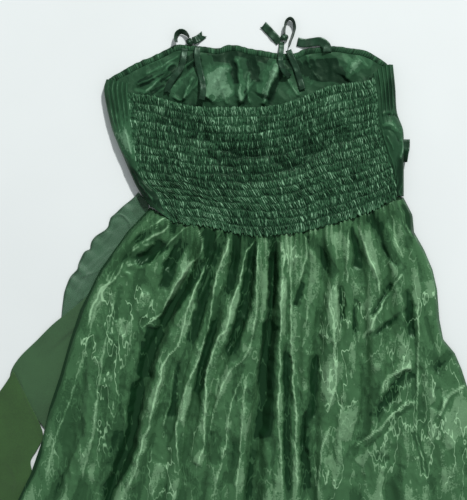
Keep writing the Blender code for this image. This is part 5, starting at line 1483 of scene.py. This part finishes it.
def skirt_front_grid():
    """The plain front of the skirt, flat on the surface."""
    levels = np.concatenate([[0.35], np.linspace(0.6, LAST_LEVEL, 60),
                             np.linspace(HEM_START, HEM, 60)])
    t = np.linspace(0, 1, 111)
    rows = []
    for level in levels:
        y = row_level(level)
        left = outline_x(SKIRT_LEFT, y) + 30.0
        right = outline_x(SKIRT_RIGHT, y) - 8.0
        sweep = (HEM_SWEEP - 1.0) * max(0.0, level - LAST_LEVEL)
        rows.append(np.stack([left + (right - left) * t, y - sweep * np.sin(math.pi * t),
                              0 * t], axis=-1))
    grid = np.stack(rows)
    x, y = grid[..., 0], grid[..., 1]
    grid[..., 2] = np.clip(0.8 + 0.6 * noise_at(x, y, 34.0, 2.7, 2.5), 0.1, 1.4)
    return grid, 0.42 + 0.12 * noise_at(x, y, 30.0, 5.1, 2.0)


def layer_grid(free, hidden, columns, rows, height):
    """A layer from its free edge to its hidden one; height takes share along, mm in, share in."""
    t, s = np.linspace(0, 1, columns + 1), np.linspace(0, 1, rows + 1)
    start, end = curve(free)(t), curve(hidden)(t)
    width = np.linalg.norm(end - start, axis=1)[:, None]
    places = start[:, None] * (1 - s)[None, :, None] + end[:, None] * s[None, :, None]
    z = height(t[:, None] + 0 * s[None], width * s[None], s[None] + 0 * t[:, None])
    return np.concatenate([places, z[..., None]], axis=2)


def ruffle_height(t, inside, s):
    """Waves along the ruffle's free edge, soft towards the skirt."""
    fade = ease((0.62 - s) / 0.62) * ease(9 * t + 0.2) * ease(6 * (0.92 - t))
    uneven = 1 + 0.35 * np.sin(11 * t + 0.6)
    return 1.2 + RUFFLE_RISE * fade * uneven * (0.5 - 0.5 * np.cos(
        2 * math.pi * RUFFLE_WAVES * (t + 0.006 * np.sin(17 * t))))


def upper_height(t, inside, s):
    """The upper flounce lies on the ruffle and on the lower flounce along its edges."""
    return 1.2 + OVERLAY_LIFT * ease((OVERLAP + 6 - inside) / 6) * ease((0.66 - t) / 0.1)


def lower_height(t, inside, s):
    """The lower flounce passes over the upper one's corner."""
    near = ease((0.34 - t) / 0.04)
    return 1.2 + OVERLAY_LIFT * near * ease((inside - 4 + 40 * ease((0.16 - t) / 0.1)) / 6)


def surface_below(things):
    """A function that gives the highest point of the things near x, y, or the floor."""
    trees = [BVHTree.FromPolygons([point.co for point in thing.data.vertices],
                                  [face.vertices for face in thing.data.polygons])
             for thing in things]

    def height(x, y, reach):
        highest = 0.0
        for dx in np.linspace(-1, 1, 9):
            for dy in np.linspace(-1, 1, 9):
                start = Vector((x + dx * reach, y + dy * reach, 100.0)) * MM
                for tree in trees:
                    hit = tree.ray_cast(start, Vector((0, 0, -1)))[0]
                    if hit is not None:
                        highest = max(highest, hit.z / MM)
        return highest

    return height


def ribbon_rings(name, width, route, surface):
    """Rings of a folded ribbon laid over what is beneath it, some with a notch at their end."""
    line = curve(route)
    length = line_length(line(np.linspace(0, 1, 60))[:, :2])
    count = max(12, round(length / RIBBON_STEP))
    places = line(np.linspace(0, 1, count + 1))
    coarse = line(np.linspace(0, 1, max(4, round(length / 5.0)) + 1))
    # Ribbon bridges what it crosses: it stays as high as the places before and behind need.
    under = [surface(x, y, 0.5 * width + LAYER_GAP) for x, y in coarse[:, :2]]
    under = [max(under[max(0, i - 1):i + 2]) for i in range(len(under))]
    under = np.interp(np.linspace(0, 1, count + 1), np.linspace(0, 1, len(under)), under)
    rings = []
    for i, (x, y, lean) in enumerate(places):
        along = places[min(count, i + 1), :2] - places[max(0, i - 1), :2]
        along = np.array([*along, 0.0]) / np.linalg.norm(along)
        side = np.array([along[1], -along[0], 0.0])
        up = np.array([0.0, 0.0, 1.0])
        share = i / count
        curl = 5.0 * math.sin(9.0 * share + len(name)) * (1 if lean < 45 else 0.6)
        angle = math.radians(lean + curl)
        broad = side * math.cos(angle) + up * math.sin(angle)
        thin = up * math.cos(angle) - side * math.sin(angle)
        half_rise = 0.5 * width * abs(broad[2]) + 0.5 * RIBBON_THICK * abs(thin[2])
        half_rise = min(half_rise, 0.5 * width + 0.4)
        centre = np.array([x, y, under[i] + LAYER_GAP + half_rise])
        ring = []
        for across, rise in RIBBON_SECTION:
            ripple = 0.22 * math.sin(5.0 * share * length / width + 3 * across)
            point = centre + 0.5 * width * across * broad
            ring.append(point + (0.42 * RIBBON_THICK * rise + ripple * 0.6) * thin)
        if name in NOTCHED_ENDS and i > count - NOTCH_RINGS:
            pull = 0.34 * width * (i - count + NOTCH_RINGS) / NOTCH_RINGS
            ring = [point - along * pull * (1 - abs(row[0]))
                    for point, row in zip(ring, RIBBON_SECTION)]
        rings.append(ring)
    return np.array(rings), length


def knot_object(name, place_at, surface, material):
    """A tied knot: a rounded roll of ribbon with the wraps drawn tight round it."""
    width, depth, height = KNOT_SIZE
    rest = surface(*place_at, 0.3 * width)
    rings = []
    for a in np.linspace(0, math.pi, 25)[1:-1]:
        ring = []
        for b in np.linspace(0, 2 * math.pi, 36, endpoint=False):
            wrap = 1 + 0.09 * math.sin(3 * b + 4.5 * a) + 0.05 * math.sin(7 * b - 3 * a)
            ring.append((place_at[0] + 0.5 * width * math.cos(a) * wrap,
                         place_at[1] + 0.5 * depth * math.sin(a) * math.cos(b) * wrap,
                         rest + LAYER_GAP + 0.5 * height * (1 + math.sin(a) * math.sin(b) * wrap)))
        rings.append(ring)
    return rings_object(name, rings, material)


# Operators

class DRESS_OT_shirred_back(bpy.types.Operator):
    """Build the shirred back with its rows of elastic thread"""

    bl_idname = "dress.shirred_back"
    bl_label = "Shirred back"

    def execute(self, context):
        sizes, colours = context.scene.dress_sizes, context.scene.dress_colours
        cloth = satin("satin_shirred_on_elastic", *bodice_shades(colours), vein=0.0,
                      grain=0.3, crumpled=0.0, gloss=0.16)
        grid, tone = shirring_grid(sizes)
        piece = cloth_object("shirred_back", grid, cloth, tone)
        place(piece, "shirred_satin", "back_shirred_panel")
        thread = ribbon_satin("polyester_thread_spun", colours.thread, 0.5)
        starts, ends = [], []
        for row in range(1, sizes.elastic_rows):
            line = grid[row * BAND_STEPS]
            for k in range(6, len(line) - 6, GATHER_STEPS):
                starts.append(line[k] + STITCH_LIFT)
                ends.append(line[k + 3] + STITCH_LIFT)
        stitches = stitches_object("elastic_stitches", starts, ends, STITCH_RADIUS, thread)
        place(stitches, "shirred_satin")
        return {"FINISHED"}


class DRESS_OT_side_panels(bpy.types.Operator):
    """Build the pleated side panels"""

    bl_idname = "dress.side_panels"
    bl_label = "Side panels"

    def execute(self, context):
        sizes, colours = context.scene.dress_sizes, context.scene.dress_colours
        cloth = satin("satin_pressed_in_pleats", *bodice_shades(colours), roughness=0.42,
                      vein=0.3, crumpled=0.3, gloss=0.18)
        sides = (("side_left_cloth", "side_panel_left", EDGE_LEFT, SEAM_LEFT, SIDE_LEFT_FORM, 1),
                 ("side_right_cloth", "side_panel_right", EDGE_RIGHT, SEAM_RIGHT,
                  SIDE_RIGHT_FORM, -1))
        for name, cad_node, edge, seam, form, inward in sides:
            grid, tone = side_grid(edge, seam, form, inward, sizes.side_pleats)
            piece = cloth_object(name, grid, cloth, tone)
            place(piece, "satin", cad_node)
        return {"FINISHED"}


class DRESS_OT_front(bpy.types.Operator):
    """Build the bodice front, its crumpled inside and the gathered neckline"""

    bl_idname = "dress.front"
    bl_label = "Bodice front"

    def execute(self, context):
        sizes, colours = context.scene.dress_sizes, context.scene.dress_colours
        plain = satin_laid_flat(colours)
        grid, tone = front_grid()
        front = cloth_object("front_bodice_cloth", grid, plain, tone)
        place(front, "satin", "front_bodice")
        inside = satin("satin_inner_face_crumpled", *bodice_shades(colours), roughness=0.5,
                       vein=0.25, crumpled=0.25, gloss=0.2)
        grid, tone = lining_grid()
        lining = cloth_object("front_inside_cloth", grid, inside, tone)
        place(lining, "satin_inside", "front_lining")
        rings, tone = casing_rings(sizes)
        gathered = satin("satin_gathered_in_casing", *bodice_shades(colours), roughness=0.5,
                         vein=0.0, grain=0.3, light=0.8, crumpled=0.0, gloss=0.16)
        casing = rings_object("neck_casing_cloth", rings, gathered, tone)
        place(casing, "satin", "neck_casing")
        return {"FINISHED"}


class DRESS_OT_skirt(bpy.types.Operator):
    """Build the gathered back and the plain front of the skirt"""

    bl_idname = "dress.skirt"
    bl_label = "Skirt"

    def execute(self, context):
        sizes, colours = context.scene.dress_sizes, context.scene.dress_colours
        cloth = satin("satin_gathered_unpressed", *skirt_shades(colours), grain=0.2)
        grid, tone, veins = skirt_grid(sizes)
        back = cloth_object("skirt_back_cloth", grid, cloth, tone, veins)
        place(back, "satin", "skirt_back")
        plain = satin_laid_flat(colours)
        grid, tone = skirt_front_grid()
        front = cloth_object("skirt_front_cloth", grid, plain, tone)
        place(front, "satin", "skirt_front")
        return {"FINISHED"}


class DRESS_OT_left_layers(bpy.types.Operator):
    """Build the sheer ruffle and the matt flounces beneath the skirt's left side"""

    bl_idname = "dress.left_layers"
    bl_label = "Left layers"

    def execute(self, context):
        colours = context.scene.dress_colours
        layers = (
            ("ruffle_cloth", "ruffle_sheer", "organza", organza(colours), RUFFLE_FREE,
             RUFFLE_HIDDEN, 320, 36, ruffle_height, (0.24, 0.04)),
            ("flounce_upper_cloth", "flounce_upper", "crepe",
             crepe("crepe_matt_pebbled", colours.crepe), UPPER_FREE, UPPER_HIDDEN, 110, 60,
             upper_height, (0.24, 0.05)),
            ("flounce_lower_cloth", "flounce_lower", "crepe",
             crepe("crepe_matt_olive", colours.crepe_olive), LOWER_FREE, LOWER_HIDDEN, 180, 60,
             lower_height, (0.5, 0.085)),
        )
        for name, cad_node, slot, cloth, free, hidden, along, inward, height, flat in layers:
            grid = layer_grid(free, hidden, along, inward, height)
            x, y = grid[..., 0], grid[..., 1]
            fold, tone = creases(LAYER_CREASES, x, y)
            soft = 0.5 * noise_at(x, y, 22.0, 3.4) + 0.25 * noise_at(x, y, 9.0, 6.3)
            grid[..., 2] = np.maximum(grid[..., 2] + fold + soft, 0.3)
            edge = np.zeros(x.shape)
            edge[:, :len(HEM_TONE)] = HEM_TONE
            # The creases and fine fold lines paint light and shade into the ruffle's tone, besides
            # the denser hem and doubled corner.
            tone = 0.5 + 0.2 * tone + edge + shade_bands(RUFFLE_SHADES, x, y)
            piece = cloth_object(name, grid, cloth, tone)
            thicken(piece, LAYER_THICK)
            place(piece, slot, cad_node)
        return {"FINISHED"}


class DRESS_OT_bows(bpy.types.Operator):
    """Build the ribbon bows, the strap and the ribbon at the right side"""

    bl_idname = "dress.bows"
    bl_label = "Bows"

    def execute(self, context):
        colours = context.scene.dress_colours
        cloth = ribbon_satin("satin_ribbon_folded", colours.ribbon)
        surface = surface_below([bpy.data.objects["front_inside_cloth"],
                                 bpy.data.objects["neck_casing_cloth"]])
        for name, spot in (("bow_left_knot", LEFT_KNOT), ("bow_center_knot", CENTER_KNOT)):
            knot = knot_object(name + "_cloth", spot, surface, cloth)
            place(knot, "ribbon", name)
        for name, (width, route) in RIBBONS.items():
            rings, length = ribbon_rings(name, width, route, surface)
            piece = rings_object(name + "_cloth", rings, cloth)
            place(piece, "ribbon", name)
        return {"FINISHED"}


class DRESS_OT_stage(bpy.types.Operator):
    """Build the pale surface, the lights and the camera"""

    bl_idname = "dress.stage"
    bl_label = "Stage"

    def execute(self, context):
        scene, stage = context.scene, context.scene.dress_stage
        mesh = bpy.data.meshes.new("floor")
        corners = ((-1, -1), (1, -1), (1, 1), (-1, 1))
        mesh.from_pydata([(x * BOARD_REACH, y * BOARD_REACH, -BOARD_DROP) for x, y in corners],
                         [], [(0, 1, 2, 3)])
        mesh.materials.append(painted_board(scene.dress_colours.floor))
        link_object("floor", mesh)
        world = bpy.data.worlds.new("room_light")
        world.use_nodes = True
        background = world.node_tree.nodes["Background"]
        background.inputs["Color"].default_value = ROOM_TINT
        background.inputs["Strength"].default_value = stage.sky
        scene.world = world
        light = bpy.data.lights.new("key", "AREA")
        light.shape = "SQUARE"
        light.size = KEY_SIZE
        light.energy = stage.key_power
        lamp = bpy.data.objects.new("key", light)
        lamp.location = KEY_PLACE
        lamp.rotation_euler = (-lamp.location).to_track_quat("-Z", "Y").to_euler()
        lamp.visible_camera = False
        scene.collection.objects.link(lamp)
        camera = bpy.data.cameras.new("camera")
        camera.lens = stage.lens
        view_height = PHOTO_HEIGHT * MM_PER_PIXEL * MM
        distance = stage.lens * view_height / camera.sensor_width
        shot = bpy.data.objects.new("camera", camera)
        middle = ((PHOTO_WIDTH / 2 - ORIGIN_PIXEL[0]) * MM_PER_PIXEL * MM,
                  (ORIGIN_PIXEL[1] - PHOTO_HEIGHT / 2) * MM_PER_PIXEL * MM)
        shot.location = (*middle, distance + SCALE_LEVEL)
        scene.collection.objects.link(shot)
        scene.camera = shot
        scene.view_settings.view_transform = "Standard"
        return {"FINISHED"}


class DRESS_PT_panel(bpy.types.Panel):
    """Sizes, colours and steps of the dress"""

    bl_idname = "DRESS_PT_panel"
    bl_label = "Laid party dress"
    bl_space_type = "VIEW_3D"
    bl_region_type = "UI"
    bl_category = "Dress"

    def draw(self, context):
        layout = self.layout
        for name in SETTINGS:
            group = getattr(context.scene, name)
            box = layout.box()
            for key in group.__annotations__:
                box.prop(group, key)
        for operator in OPERATORS:
            layout.operator(operator.bl_idname)


OPERATORS = (DRESS_OT_stage, DRESS_OT_front, DRESS_OT_side_panels, DRESS_OT_shirred_back,
             DRESS_OT_skirt, DRESS_OT_left_layers, DRESS_OT_bows)
SETTINGS = {"dress_sizes": DressSizes, "dress_colours": DressColours, "dress_stage": DressStage}
CLASSES = (*SETTINGS.values(), *OPERATORS, DRESS_PT_panel)


def register():
    """Registers the classes and the settings."""
    for cls in CLASSES:
        bpy.utils.register_class(cls)
    for name, group in SETTINGS.items():
        setattr(bpy.types.Scene, name, PointerProperty(type=group))


def unregister():
    """Takes the settings and the classes away."""
    for name in SETTINGS:
        delattr(bpy.types.Scene, name)
    for cls in reversed(CLASSES):
        bpy.utils.unregister_class(cls)


def main():
    """Builds the whole scene."""
    register()
    bpy.ops.dress.stage()
    bpy.ops.dress.front()
    bpy.ops.dress.side_panels()
    bpy.ops.dress.shirred_back()
    bpy.ops.dress.skirt()
    bpy.ops.dress.left_layers()
    bpy.ops.dress.bows()


if __name__ == "__main__":
    main()
